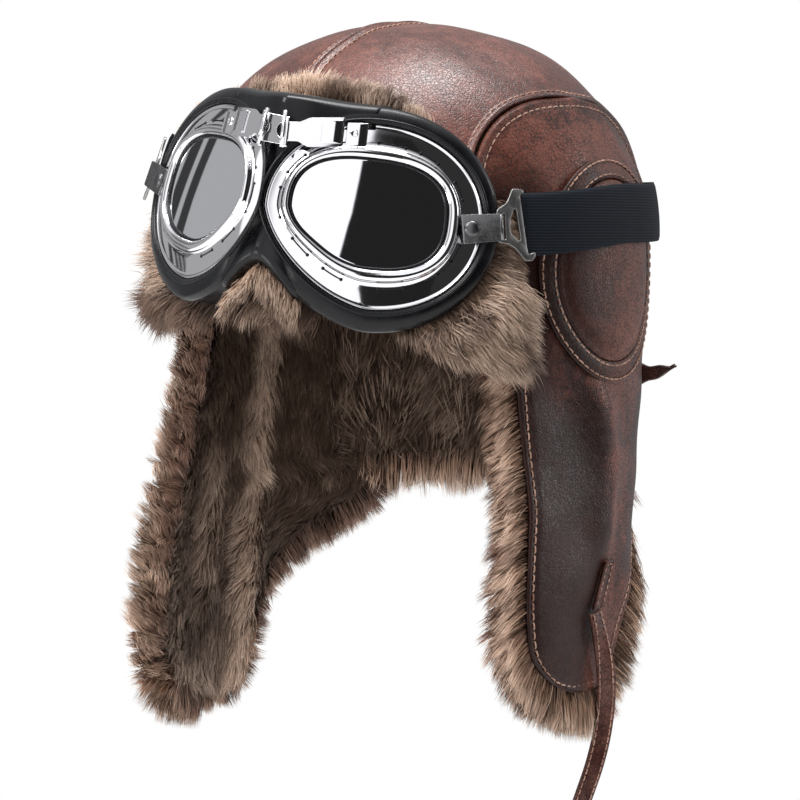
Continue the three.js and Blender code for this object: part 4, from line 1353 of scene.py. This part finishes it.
def strapBuckle(side):
    outlines = [filleted(buckleOutline, 1.1, 3), filleted(buckleSlot, 0.4, 3), filleted(buckleOpening, 0.9, 3)]
    plate = stamped(outlines, buckle["thick"], lambda x, y, h: onBuckle(side, x, y, h), 0.3)
    finishPiece(sided("buckle_frame", side), plate, darkSteel, [sided("strap_buckle", side)])


for side in (1, -1):
    bracketTab(side)
    strapBuckle(side)
print("brackets made")

# Elastic band

band = {"wide": 24.5, "thick": 1.5, "level": 8, "backRise": 6, "settle": 42, "overEar": 3.4, "behindBar": 2.1}


def bandEnd(side):
    p = onBuckle(side, np.array([9.5]), np.array([1.0]), -leather["gap"] - band["thick"] - 1.6)
    return float(np.abs(turnOf(p))[0] / degree), float(p[0, 2]), float(standOff(p)[0])


bandEnds = {side: bandEnd(side) for side in (1, -1)}


def bandLine(turn):
    # level and stand-off of the band at turns in degrees, from 0 to 360
    fromFront = np.where(turn > 180, 360 - turn, turn)
    endTurn, endLevel, endOff = [np.where(turn > 180, bandEnds[-1][k], bandEnds[1][k]) for k in range(3)]
    settled = smooth(0, band["settle"], fromFront - endTurn)
    level = mix(endLevel, band["level"] + band["backRise"] * smooth(100, 180, fromFront), settled)
    overEar = band["overEar"] * smooth(56, 70, fromFront) * (1 - smooth(122, 134, fromFront))
    return level, mix(endOff, leather["ease"] + overEar, settled)


def elasticBand():
    def place(u, v):
        turn = mix(bandEnds[1][0] + band["behindBar"], 360 - bandEnds[-1][0] - band["behindBar"], u)
        level, off = bandLine(turn)
        edge = 0.35 * np.maximum(0, np.abs(2 * v - 1) - 0.86) / 0.14
        radians = ((turn + 180) % 360 - 180) * degree
        return onWall(radians, level + (v - 0.5) * band["wide"], off + band["thick"] - edge)

    form = bentGrid(220, 14, place)
    panelPiece("goggle_band_elastic", form, band["thick"], elastic, ["goggle_band"])


elasticBand()
print("band made")

# Tie tab and the strap across the nape

napeStrap = {
    "wide": 11, "thick": 1.8, "level": -65, "from": 128, "to": 232, "tail": 0.16, "tailRise": 4,
    "tailReach": (17, 5, 0),
}


def tieTab():
    def place(u, v):
        level = mix(tie["sewn"] + leather["gap"], tie["top"], v)
        turn = (tie["tabTurn"] + tie["tabLean"] * v) * degree
        rise = 2.6 + 0.5 * bump(u - 0.12, 0.1) + 0.5 * bump(u - 0.88, 0.1) + 0.5 * bump(v - 0.95, 0.06)
        p = onWall(turn, level, rise)
        p[:, 1] += mix(-3.4, 3.4, u)
        return p

    panelPiece("tie_patch", bentGrid(16, 30, place), 2.1, strapLeather, ["tie_tab"])


def napeTaper(tail):
    return (1 - 0.4 * smooth(0.0, 0.35, tail)) * (1 - 0.88 * smooth(0.5, 1, tail))


def onNape(share, across, out):
    # share runs from the right end to the tip of the loose tail, across from edge to edge as -1 to 1
    tailShare = napeStrap["tail"]
    turn = mix(napeStrap["to"], napeStrap["from"] + 6, np.minimum(1, share / (1 - tailShare)))
    turn = np.where(turn > 180, turn - 360, turn) * degree
    tail = np.maximum(0, (share - 1 + tailShare) / tailShare)
    level = napeStrap["level"] + napeStrap["tailRise"] * tail**2
    level = level + across * napeStrap["wide"] / 2 * napeTaper(tail)
    p = onWall(turn, level, leather["gap"] + napeStrap["thick"] + out)
    return p + tail[:, None] * np.array(napeStrap["tailReach"]), wallNormal(turn, level)


def strapAtNape():
    def place(u, v):
        return onNape(u, 2 * v - 1, 0.4 * (1 - (2 * v - 1) ** 4))[0]

    panelPiece("nape_tie", bentGrid(110, 10, place), napeStrap["thick"], strapLeather, ["nape_strap"])


tieTab()
strapAtNape()


def strapStitches():
    rows = []
    line, way = tieLine()
    share = np.arange(tie["steps"] + 1) / tie["steps"]
    face = tieFace(share)
    across = unit(np.cross(way, face))
    face = unit(np.cross(across, way))
    for off in (-2.9, 2.9):
        path = line + across * off + face * (tie["thick"] / 2 + 0.1)
        rows.append(stitched(path, face, strapStitch))
    for across in (-0.72, 0.72):
        rows.append(stitched(*onNape(np.linspace(0.02, 0.9, 200), across, np.full(200, 0.3)), strapStitch))
    corners = [(-2.4, 0.08), (-2.4, 0.9), (2.4, 0.9), (2.4, 0.08)]
    outline = np.concatenate([np.linspace(a, b, 30) for a, b in zip(corners[:-1], corners[1:])])
    level = mix(tie["sewn"], tie["top"], outline[:, 1])
    turn = tie["tabTurn"] + tie["tabLean"] * outline[:, 1]
    path = onWall(turn * degree, level, np.full(len(level), 2.75)) + outline[:, :1] * np.array([0, 1, 0])
    rows.append(stitched(path, wallNormal(turn * degree, level), tabStitch))
    return rows


stitchPiece("strap_stitches", strapStitches())
print("straps made")

# Fur: backing sheets with a short pile's depth, and strands over them

# fringe: its length before and behind each flap; inwardDark: how much darker it is towards the lining
furLook = {
    "depth": 14, "overhang": 11, "frontComb": {-1: (0.0, -0.1, 1.0), 1: (0.0, -0.2, -0.9)},
    "fringe": {-1: (1.15, 0.8), 1: (0.98, 1.12)}, "inwardDark": {-1: 0.55, 1: 0.4},
}
# turn, and the levels of the fur's lower edge and its top there
frontRows = [
    (-57, -22, -8), (-52, -30, 7), (-46, -34, 28), (-40, -35, 42), (-28, -30, 53), (0, -27, 60), (28, -35, 54),
    (40, -44, 42), (48, -48, 28), (55, -50, 4), (62, -48, -16),
]
# turn, and the level of the crown lining's hem
hemRows = [
    (0, -27), (30, -30), (46, -31), (62, -31), (112, -31), (118, -106), (120, -107), (135, -109), (180, -106),
]
frontFur = {"thick": 15, "pressed": 5}


def insideOutline(x, y, edgeX, edgeY):
    inside = np.zeros(x.shape, bool)
    for ax, ay, bx, by in zip(edgeX, edgeY, np.roll(edgeX, -1), np.roll(edgeY, -1)):
        crosses = (ay > y) != (by > y)
        inside ^= crosses & (x < ax + (y - ay) / (by - ay if by != ay else 1e-9) * (bx - ax))
    return inside


def underPad(p):
    # 1 under the goggles' pad, falling to 0 beside it
    cover = np.zeros(p.shape[:-1])
    for side in (1, -1):
        out, up, _, middle = goggleFrames[side]
        x, y = (p - middle) @ out, (p - middle) @ up
        edgeX, edgeY = padOutline(evenAngles(plateSize, 44), 1.9)
        away = np.min(np.hypot(x[..., None] - edgeX, y[..., None] - edgeY), -1)
        away = np.where(insideOutline(x, y, edgeX, edgeY), 0, away)
        d = np.abs(x - noseLine(y, -10))
        beside = np.maximum(d - nosePiece["half"], np.maximum(noseLow(d) - y, y - nosePiece["high"]))
        clear = mix(5, 11, smooth(12, 30, d))
        cover = np.maximum(cover, np.maximum(1 - smooth(1, clear, away), 1 - smooth(-2, 4, beside)))
    return cover


def hiddenByPad(p):
    # where the pad lies so close that no strand under it can be seen
    hidden = np.zeros(p.shape[:-1], bool)
    for side in (1, -1):
        out, up, _, middle = goggleFrames[side]
        x, y = (p - middle) @ out, (p - middle) @ up
        d = x - noseLine(y, -10)
        web = (d < nosePiece["half"]) & (y > noseLow(np.maximum(d, 0)) + 2) & (y < nosePiece["high"] - 3)
        hidden |= insideOutline(x, y, *padOutline(evenAngles(plateSize, 60), 1.55)) | (web & (d > -3))
    return hidden


def furFrontPoint(u, v, w):
    turn = mix(frontRows[0][0], frontRows[-1][0] - 3.5, u)
    fold, top = readRows(frontRows, turn, 1), readRows(frontRows, turn, 2)
    level = mix(fold - 4, top, v)
    acrossRim = np.minimum(1, 0.35 + 5 * (1 - np.abs(2 * v - 1)))
    alongRim = np.minimum(1, 0.4 + 7 * (1 - np.abs(2 * u - 1)))
    lean = 1 - 0.6 * smooth(-38, -48, turn) * smooth(-28, -14, level)
    thick = frontFur["thick"] * acrossRim * alongRim * lean
    base = wallPoint(turn * degree, level)
    cover = underPad(onForm(base, frontFur["pressed"]))
    pressed = np.minimum(thick, mix(thick, frontFur["pressed"], cover))
    fullTurn = np.where(turn < 0, turn + 360, turn)
    endTurn, endLevel = [np.where(turn > 0, bandEnds[1][k], bandEnds[-1][k]) for k in range(2)]
    off = bandLine(fullTurn)[1]
    aside = np.abs(level - endLevel) - band["wide"] / 2
    under = smooth(-18, -9, np.abs(turn) - endTurn) * (1 - smooth(6, 15, aside))
    pressed = np.minimum(pressed, mix(pressed, np.maximum(1, off - 4), under))
    return onForm(base, leather["ease"] + pressed * w)


# flapInside also paints a highlight along these crests
lightRidges = [(-50, 94), (-79, 90.5), (-107, 88.5), (-140, 87), (-174, 85.5), (-205, 83)]


def flapRidges(turn, level):
    # where the lining of a flap stands in upright folds
    main = bump(turn - readRows(lightRidges, level), 4.2)
    second = bump(turn - 71.5, 3.4) * smooth(-84, -104, level) * smooth(-172, -150, level)
    return main, second


def flapLiningPoint(side, u, v, w, over=furLook["overhang"]):
    reach = over / head["halfLength"] / degree
    last = flapRows[-1][0]
    low = last - over
    scale = (low - sideArch["seam"]) / (last - sideArch["seam"])
    level = flapLevel(v, low) - 3 * (1 - v)
    row = sideArch["seam"] + (level - sideArch["seam"]) / scale
    front = readRows(flapRows, row, 1) - reach
    free = readRows(flapRows, row, 2) + reach - drawnIn(side, row)
    rear = mix(free, 121, smooth(-109, -99, level))
    turn = mix(front, rear, u)
    body = np.minimum(1, 4.5 * (1 - np.abs(2 * u - 1)) + 0.45) * np.minimum(1, 5 * (1 - v) + 0.4)
    main, second = flapRidges(turn, level)
    pile = (furLook["depth"] - 3 + 6.5 * main + 4.5 * second) * body
    slack = 2 * smooth(0.3, 0.8, u) * smooth(-95, -115, level) * smooth(-190, -170, level)
    depth = leather["thick"] + leather["ease"] + slack + pile * (1 - w)
    return lowered(side, mirrored(side, onWall(turn * degree, level, -depth)))


def crownLiningPoint(turn, down, w):
    # turn in degrees; down is 0 at the top and 1 at the hem
    hem = readRows(hemRows, np.abs((turn + 180) % 360 - 180))
    radians = ((turn + 180) % 360 - 180) * degree
    domeShare = 0.55
    depth = -leather["thick"] - mix(furLook["depth"], leather["ease"], w)
    tilt = np.clip(down / domeShare, 0.002, 1) * math.pi / 2
    x = np.sin(radians) * np.sin(tilt) * head["halfWidth"]
    y = -np.cos(radians) * np.sin(tilt) * head["halfLength"]
    p = np.stack([x, y, head["height"] * np.cos(tilt)], -1)
    high = onForm(p, depth)
    low = onWall(radians, mix(0, hem, (down - domeShare) / (1 - domeShare)) - 0.01, depth)
    return np.where((down < domeShare)[..., None], high, low)


def backingSheet(name, across, along, place, replaces):
    # a closed pad under the strands: out over one face and back over the other
    def wrap(u, v):
        inside = u > 0.5
        lean = np.where(inside, 2 - 2 * u, 2 * u)
        return place(lean, v, np.where(inside, 1.0, 0.0))

    form = bentGrid(across * 2 + 1, along, wrap)
    bmesh.ops.recalc_face_normals(form, faces=form.faces)
    return finishPiece(name, form, furBacking, replaces)


def strands(name, roots, ups, lays, seed, finish, shade, look):
    # ribbons that leave their roots along ups, bend over towards lays and gather into tufts
    rng = np.random.default_rng(seed)
    count, steps = len(roots), look.get("steps", 3)
    length = look["length"] * rng.uniform(0.6, 1.2, count)
    lays = unit(lays + look.get("stray", 0.22) * rng.normal(size=(count, 3)))
    points = [roots]
    for k in range(steps):
        t = (k + 0.5) / steps
        angle = mix(look["lean"][0], look["lean"][1], t) * degree
        way = ups * math.cos(angle) + lays * math.sin(angle)
        way[:, 2] -= look.get("droop", 0.1) * t
        points.append(points[-1] + unit(way) * (length / steps)[:, None])
    line = np.stack(points, 1)
    leaders = rng.choice(count, max(1, count // look["tuft"]), replace=False)
    tree = mathutils.kdtree.KDTree(len(leaders))
    for i, leader in enumerate(leaders):
        tree.insert(roots[leader], i)
    tree.balance()
    nearest = np.array([tree.find(root)[1] for root in roots])
    goal = line[leaders][nearest]
    t = (np.arange(steps + 1) / steps)[None, :, None]
    spread = (roots - roots[leaders][nearest])[:, None]
    line = mix(line, goal + 0.35 * spread, look["gather"] * t**1.5)
    tuftShade = rng.normal(size=len(leaders))[nearest]
    shade = np.clip(shade + look.get("mottle", 0.09) * tuftShade + 0.12 * rng.normal(size=count), 0.02, 0.98)
    along = unit(np.gradient(line, axis=1))
    facing = unit(ups + 0.35 * rng.normal(size=(count, 3)))[:, None]
    aside = unit(np.cross(along, facing))
    thin = (1 - (t * 0.92) ** 2) * look["width"] / 2
    rows = np.stack([line + aside * thin, line - aside * thin], 2).reshape(count, -1, 3)[:, : 2 * steps + 1]
    size = 2 * steps + 1
    pattern = []
    for k in range(steps):
        a = 2 * k
        pattern.append((a, a + 2, a + 1))
        if k < steps - 1:
            pattern.append((a + 1, a + 2, a + 3))
    faces = (np.arange(count)[:, None, None] * size + np.array(pattern)[None]).reshape(-1, 3)
    height = np.repeat(np.arange(steps + 1) / steps, 2)[:size]
    uv = np.stack([np.repeat(shade, size), np.tile(height, count)], 1)
    data = meshOf(name, rows.reshape(-1, 3), faces, uv)
    # the light falls on the coat's own surface more than on each ribbon
    own = unit(np.cross(aside, along))
    own = own * np.sign((own * ups[:, None]).sum(-1, keepdims=True))
    softened = unit(0.55 * ups[:, None] + 0.45 * own)
    softened = np.repeat(softened, 2, axis=1)[:, :size].reshape(-1, 3)
    piece = placePiece(name, data, finish)
    data.normals_split_custom_set_from_vertices(softened)
    return piece


def scatter(rng, count, place, uRange=(0, 1), vRange=(0, 1), keep=None):
    # spots spread evenly by area over a surface, each with its normal and its two directions
    u = rng.uniform(*uRange, count * 3)
    v = rng.uniform(*vRange, count * 3)
    step = 0.003
    du = place(u + step, v) - place(u - step, v)
    dv = place(u, v + step) - place(u, v - step)
    normal = np.cross(du, dv)
    area = np.linalg.norm(normal, axis=1)
    chance = np.minimum(1, area / np.percentile(area, 90))
    if keep is not None:
        chance = chance * keep(u, v)
    kept = np.flatnonzero(rng.random(len(u)) < chance)[:count]
    return place(u[kept], v[kept]), unit(normal[kept]), unit(du[kept]), unit(dv[kept]), u[kept], v[kept]


# length and width in millimetres, lean in degrees from root to tip, tuft the strands in one
frontCoatLook = {
    "length": 17, "width": 0.46, "lean": (40, 82), "tuft": 60, "gather": 0.5, "droop": 0.15, "stray": 0.3,
    "mottle": 0.17,
}
notchLook = {"length": 8.5, "width": 0.42, "lean": (15, 75), "tuft": 40, "gather": 0.3, "stray": 0.28}
insideLook = {"length": 13, "width": 0.48, "lean": (50, 84), "tuft": 70, "gather": 0.35, "droop": 0.1}
edgeLook = {"length": 21, "width": 0.42, "lean": (8, 70), "tuft": 55, "gather": 0.58, "droop": 0.05, "stray": 0.28}
crownLook = {"length": 17, "width": 0.9, "lean": (45, 84), "tuft": 40, "gather": 0.5, "steps": 2}
amounts = {
    "front": 29500, "notch": 2800, "insideRight": 33000, "insideLeft": 13000, "edgeRight": 21000,
    "edgeLeft": 21000, "nape": 16000, "napeEdge": 6000, "crown": 7000,
}
# the fur in the nose's notch: half its width, how far it hangs, its depth behind the lip and how much it swells
notch = {"half": 19, "hang": 12, "behind": 12, "swell": 2.5, "lowest": -47}


def flat(ups, way):
    # the part of way that runs along the coat
    return unit(way - ups * (way * ups).sum(-1, keepdims=True))


def furFrontCoat():
    rng = np.random.default_rng(11)
    middle = (goggleFrames[1][3] + goggleFrames[-1][3]) / 2
    across = unit(goggleFrames[1][3] - goggleFrames[-1][3])

    def shown(u, v):
        return np.where(hiddenByPad(furFrontPoint(u, v, np.full(u.shape, 0.7))), 0.0, 1.0)

    def place(u, v):
        return furFrontPoint(np.clip(u, 0, 1), np.clip(v, 0, 1), np.full(u.shape, 0.5))

    roots, ups, _, _, u, v = scatter(rng, amounts["front"], place, (0.012, 0.988), (0.02, 0.97), shown)
    ups = ups * np.sign((ups * (roots - [0, 0, -10])).sum(1))[:, None]
    # the coat is brushed away from the goggles
    off = roots - middle
    off = off - np.clip(off @ across, -42, 42)[:, None] * across
    lays = flat(ups, unit(off) + [0, 0, -0.15])
    nearEnd = smooth(0.72, 0.86, u)
    turn = turnOf(roots) / degree
    atNose = bump(turn - 3, 9) * smooth(-33, -26, roots[:, 2])
    farLow = smooth(20, 8, turn) * smooth(-16, -27, roots[:, 2]) * (1 - atNose)
    shade = 0.5 + 0.26 * ripples(roots, 19, 5) + 0.1 * nearEnd + 0.3 * atNose
    # darker towards the lower hem, and low on the far side under the goggles: painted shade, weaker at the near end
    shade = shade - (0.5 - 0.3 * nearEnd) * smooth(0.3, 0.06, v) - 0.12 * smooth(0.75, 0.9, v) - 0.5 * farLow
    # shorter on top, and beside the far goggles but for a wisp below them
    top = v > 0.6
    lays = flat(ups, lays + smooth(-34, -46, turn)[:, None] * np.array([-1.2, 0, 0.3]))
    beside = smooth(-38, -46, turn) * smooth(-25, -17, roots[:, 2])
    wisp = smooth(-40, -47, turn) * bump(roots[:, 2] + 30, 5)
    own = np.where(top, 0.62, 1.0) * (1 - 0.7 * beside) * (1 + 0.35 * wisp)
    for part, name in ((~top, "fur_front_coat"), (top, "fur_front_top")):
        look = {**frontCoatLook, "length": frontCoatLook["length"] * own[part]}
        strands(name, roots[part], ups[part], lays[part], 21, frontCoat, shade[part], look)


def notchCoat():
    # the fur swells forward under the rounded lip of the nose notch
    rng = np.random.default_rng(17)
    roots, ups, lays, shade = [], [], [], []
    for side in (1, -1):
        out, up, face, _ = goggleFrames[side]
        count = amounts["notch"] // 2
        d = notch["half"] * rng.uniform(0, 1, count)
        below = rng.uniform(0, 1, count) ** 0.8 * notch["hang"]
        y = noseLow(d) + 1.5 - below
        swell = notch["swell"] * np.sin(below / notch["hang"] * math.pi)
        h = swell - notch["behind"] + rng.uniform(-1, 1, count)
        x = noseLine(y, h) + d
        kept = ~insideOutline(x, y, *padOutline(evenAngles(plateSize, 60), 1.75)) & (y > notch["lowest"])
        roots.append(onGoggles(side, x, y, h)[kept])
        ways = face * 0.9 - up * 0.5 + out * rng.normal(scale=0.2, size=(count, 1))
        ups.append(unit(ways)[kept])
        lays.append(np.tile(unit(-up - 0.15 * out), (kept.sum(), 1)))
        shade.append((0.84 - 0.6 * smooth(4, 11, below))[kept])
    roots, ups, lays, shade = [np.concatenate(halves) for halves in (roots, ups, lays, shade)]
    strands("fur_notch", roots, ups, lays, 19, frontCoat, shade, notchLook)


def flapOutline(side):
    # round a flap's free edge from the top of its front to the top of its rear
    levels = np.linspace(-33, flapRows[-1][0] + 0.2, 400)
    fronts, rears = flapEdges(side, levels)
    low = levels < -108
    turns = np.concatenate([fronts, rears[low][::-1]])
    levels = np.concatenate([levels, levels[low][::-1]])
    run = runAlong(onWall(turns * degree, levels))
    even = np.linspace(0, run[-1], 1200)
    return np.interp(even, run, turns), np.interp(even, run, levels)


def flapInside(side):
    rng = np.random.default_rng(40 + side)
    count = amounts["inside" + sideName(side).title()]

    def place(u, v):
        return flapLiningPoint(side, np.clip(u, 0, 1), np.clip(v, 0, 1), np.full(u.shape, 0.35), 3)

    roots, ups, du, dv, u, _ = scatter(rng, count, place, (0.01, 0.99), (0.0, 0.985))
    unmirrored = mirrored(side, roots)
    level = unmirrored[:, 2]
    inward = -wallNormal(turnOf(unmirrored), level) * [side, 1, 1]
    ups = ups * np.sign((ups * inward).sum(1))[:, None]
    turn = np.abs(turnOf(unmirrored)) / degree
    second = flapRidges(turn, level)[1]
    # combed down, and forwards towards the front edge
    forward = unit(du) * np.where(du[:, 1:2] > 0, -1, 1)
    nearFront = smooth(74, 58, turn)
    down = unit(dv) * np.sign(-dv[:, 2:])
    lays = flat(ups, down * (1 - 0.5 * nearFront)[:, None] + forward * (0.3 + 0.8 * nearFront)[:, None])
    # paler along the crests of the lining's upright folds, a painted highlight, and darker in the crease just inside
    # the rear edge, a painted shade
    beyond = turn - readRows(lightRidges, level)
    paintedRidgeHighlight = smooth(-6.5, -0.5, beyond) * smooth(4.0, 1.6, beyond)
    low = smooth(-176, -200, level)
    shade = 0.02 + 1.05 * paintedRidgeHighlight + 0.62 * second + 0.3 * smooth(70, 57, turn) * smooth(-50, -120, level)
    shade = shade + 0.1 * ripples(roots, 20, 8) + 0.3 * low - 0.25 * smooth(0.86, 0.94, u) * (1 - low)
    strands(sided("fur_flap_inside", side), roots, ups, lays, 50 + side, insideCoat, shade, insideLook)


def flapFringe(side):
    # the fringe stands out all round the edge; at the front it is combed upwards, at the rear downwards
    rng = np.random.default_rng(60 + side)
    count = amounts["edge" + sideName(side).title()]
    turns, levels = flapOutline(side)
    steps = np.arange(len(turns))
    spot = rng.uniform(2, len(turns) - 3, count)
    at = lambda extra: onWall(np.interp(spot + extra, steps, turns) * degree, np.interp(spot + extra, steps, levels))
    here, way = at(0), unit(at(1) - at(0))
    level = here[:, 2]
    normal = wallNormal(np.interp(spot, steps, turns) * degree, level)
    share = rng.uniform(0, 1, count) ** 1.2
    depth = leather["thick"] + 0.2 + share * (furLook["depth"] - 4)
    outward = unit(np.cross(way, normal))
    middle = onWall(np.array(80 * degree), np.array(-110.0))
    outward = outward * np.sign((outward * (here - middle)).sum(1))[:, None]
    roots = here - normal * depth[:, None] + outward * rng.uniform(-4, 1.5, count)[:, None]
    front = way[:, 2] < 0
    steep = smooth(0.35, 0.8, np.abs(way[:, 2]))
    comb = np.where(front[:, None], np.array(furLook["frontComb"][side]), np.array([0, 0.25, -0.4]))
    lays = unit(outward * 0.6 + comb * steep[:, None])
    ups = unit(outward + normal * (0.35 - 0.85 * share)[:, None])
    roots, ups, lays = lowered(side, mirrored(side, roots)), mirrored(side, ups), mirrored(side, lays)
    upper = smooth(-150, -50, roots[:, 2]) if side < 0 else 0
    shade = 0.7 + 0.2 * ripples(roots, 22, 9) - furLook["inwardDark"][side] * share - 0.3 * upper
    atFront, atRear = furLook["fringe"][side]
    look = {**edgeLook, "length": edgeLook["length"] * np.where(front, atFront, atRear)}
    strands(sided("fur_flap_edge", side), roots, ups, lays, 60 + side, edgeCoat, shade, look)


def napeCoat():
    rng = np.random.default_rng(71)

    def place(u, v):
        return crownLiningPoint(mix(112, 248, u), v, np.full(u.shape, 0.45))

    roots, ups, _, _, _, v = scatter(rng, amounts["nape"], place, (0, 1), (0.5, 1.0))
    ups = ups * np.sign((ups * -roots * [1, 1, 0]).sum(1))[:, None]
    lays = flat(ups, unit([-0.5, 0, -1]))
    shade = 0.07 + 0.05 * ripples(roots, 30, 12) + 0.12 * smooth(0.9, 1.0, v)
    strands("fur_nape", roots, ups, lays, 72, insideCoat, shade, insideLook)
    # the hem's fringe hangs below the leather
    count = amounts["napeEdge"]
    u = rng.uniform(0.0, 1.0, count)
    through = rng.uniform(0.1, 0.95, count)
    roots = crownLiningPoint(mix(124, 236, u), np.full(count, 1.0), through)
    outward = unit(roots * [1, 1, 0])
    ups = unit([0, 0, -1] + outward * (1.2 * through - 0.5)[:, None])
    lays = unit([0, 0, -1] + outward * 0.2)
    shade = 0.6 + 0.2 * ripples(roots, 24, 13)
    strands("fur_nape_edge", roots, ups, lays, 73, edgeCoat, shade, edgeLook)


def crownCoat():
    rng = np.random.default_rng(81)

    def place(u, v):
        return crownLiningPoint(mix(0, 360, u), v, np.full(u.shape, 0.45))

    roots, ups, *_ = scatter(rng, amounts["crown"], place, (0, 1), (0.03, 0.99))
    ups = ups * np.sign((ups * -roots).sum(1))[:, None]
    lays = flat(ups, [0.1, 0, -1])
    shade = 0.25 + 0.2 * ripples(roots, 30, 14)
    strands("fur_crown", roots, ups, lays, 82, insideCoat, shade, crownLook)


def furBackings():
    place = lambda u, v, w: furFrontPoint(u, v, np.where(w > 0.5, 0.55, 0.02))
    backingSheet("fur_front_pad", 70, 30, place, ["front_fur"])
    for side in (1, -1):
        place = lambda u, v, w, side=side: flapLiningPoint(side, u, v, np.where(w > 0.5, 0.98, 0.32), 1.5)
        backingSheet(sided("fur_flap_pad", side), 40, 60, place, [sided("flap_lining", side)])
    place = lambda u, v, w: crownLiningPoint(u * 359.99, v, np.where(w > 0.5, 0.98, 0.42))
    backingSheet("fur_crown_pad", 90, 50, place, ["crown_lining"])


furBackings()
print("fur backings made")
furFrontCoat()
notchCoat()
for side in (-1, 1):
    flapInside(side)
    flapFringe(side)
napeCoat()
crownCoat()
print("fur made")

# Stage

stage = {"floorLevel": -0.5, "floorRadius": 1.05}
# the studio round the hat, by degrees from in front of the face towards its left ear
studio = {
    "power": 1.2, "ambient": 0.8, "grey": 0.34, "leftPanel": (-54, -37), "frontPanel": (-6, 6), "edge": 42.75,
    "edgeLean": 12.2, "floor": 0.014, "flag": 0.88, "backFrom": 98, "backFull": 150, "back": 0.5,
    "bars": [(-89.3, -88.4), (-91.2, -90.1), (-93.4, -92.0), (-98, -95.2)], "darkBar": (-34, -28),
    "ceiling": 0.85,
}
# metres and watts
lamps = {
    "key": {"place": (-0.4, -1.5, 1.7), "aim": (0, 0, 0), "size": (1.1, 1.1), "watts": 42},
    "side": {"place": (1.5, 1.5, 0.6), "aim": (0, 0, -0.05), "size": (0.4, 1.3), "watts": 11},
    "top": {"place": (0.15, 0.1, 1.5), "aim": (0, 0, 0), "size": (0.7, 0.7), "watts": 20},
    "low": {"place": (-0.7, -2.0, -0.35), "aim": (0, 0, -0.1), "size": (1.2, 0.5), "watts": 14},
}


def stageWorld():
    world = bpy.data.worlds.new("studio")
    scene.world = world
    world.use_nodes = True
    tree = world.node_tree
    tree.nodes.clear()
    start = Wire(tree)
    spots = start.add("TexCoord", output=0)
    x, y, z = [start.add("SeparateXYZ", {0: spots}, output=k) for k in range(3)]
    turn = start.add("Math", {0: x, 1: y * -1}, operation="ARCTAN2") * (180 / math.pi)

    def within(low, high, soft=0.2):
        return clamped(turn, low - soft, low) * clamped(turn, high, high + soft, 1.0, 0.0)

    ring = clamped(turn, *studio["frontPanel"], studio["grey"], 1.0)
    ring = ring + within(*studio["leftPanel"], 3.0) * (1 - studio["grey"])
    ring = ring * (1 - within(*studio["darkBar"], 2.0) * 0.92)
    ring = ring * clamped(turn - z * studio["edgeLean"], studio["edge"] - 0.12, studio["edge"] + 0.06, 1.0, 0.0)
    for low, high in studio["bars"]:
        ring = ring * (1 - within(low, high) * 0.93)
    ring = ring + clamped(turn, studio["backFrom"], studio["backFull"], 0.012, studio["back"]) * clamped(turn, 60, 61)
    over = clamped(z, 0.62, 0.9)
    room = over * studio["ceiling"] + ring * (1 - over) + studio["floor"]
    seen = start.add("LightPath", output=0)
    shining = start.add("LightPath", output=3)
    roomColour = start.add("CombineColor", {0: room, 1: room, 2: room * 1.02})
    reflected = start.add("Background", {0: roomColour, 1: studio["power"]})
    flag = clamped(turn, 40, 58) * clamped(turn, 86, 116, 1.0, 0.0)
    soft = (1 - flag * studio["flag"]) * studio["ambient"]
    softColour = start.add("CombineColor", {0: soft, 1: soft * 0.99, 2: soft * 0.975})
    ambient = start.add("Background", {0: softColour, 1: 1.0})
    white = start.add("Background", {0: (1, 1, 1, 1), 1: 1.0})
    lit = start.add("MixShader", {0: shining, 1: ambient, 2: reflected})
    shown = start.add("MixShader", {0: seen, 1: lit, 2: white})
    out = tree.nodes.new("ShaderNodeOutputWorld")
    tree.links.new(shown.socket, out.inputs[0])


def areaLight(name, place, aim, size, watts):
    data = bpy.data.lights.new(name, "AREA")
    data.shape = "RECTANGLE"
    data.size, data.size_y = size
    data.energy = watts
    made = bpy.data.objects.new(name, data)
    scene.collection.objects.link(made)
    made.location = place
    made.rotation_mode = "QUATERNION"
    made.rotation_quaternion = (Vector(aim) - Vector(place)).to_track_quat("-Z", "Y")


def stageFloor():
    form = bmesh.new()
    bmesh.ops.create_circle(form, cap_ends=True, segments=96, radius=stage["floorRadius"])
    bmesh.ops.translate(form, verts=form.verts, vec=(0, 0, stage["floorLevel"]))
    data = bpy.data.meshes.new("floor")
    form.to_mesh(data)
    form.free()
    floor = bpy.data.objects.new("floor", data)
    scene.collection.objects.link(floor)
    data.materials.append(evenFinish("pale_floor", (0.85, 0.85, 0.85), Roughness=0.9))


stageWorld()
stageFloor()
for name, lamp in lamps.items():
    areaLight(name, **lamp)
scene.view_settings.view_transform = "Standard"
print("stage made")
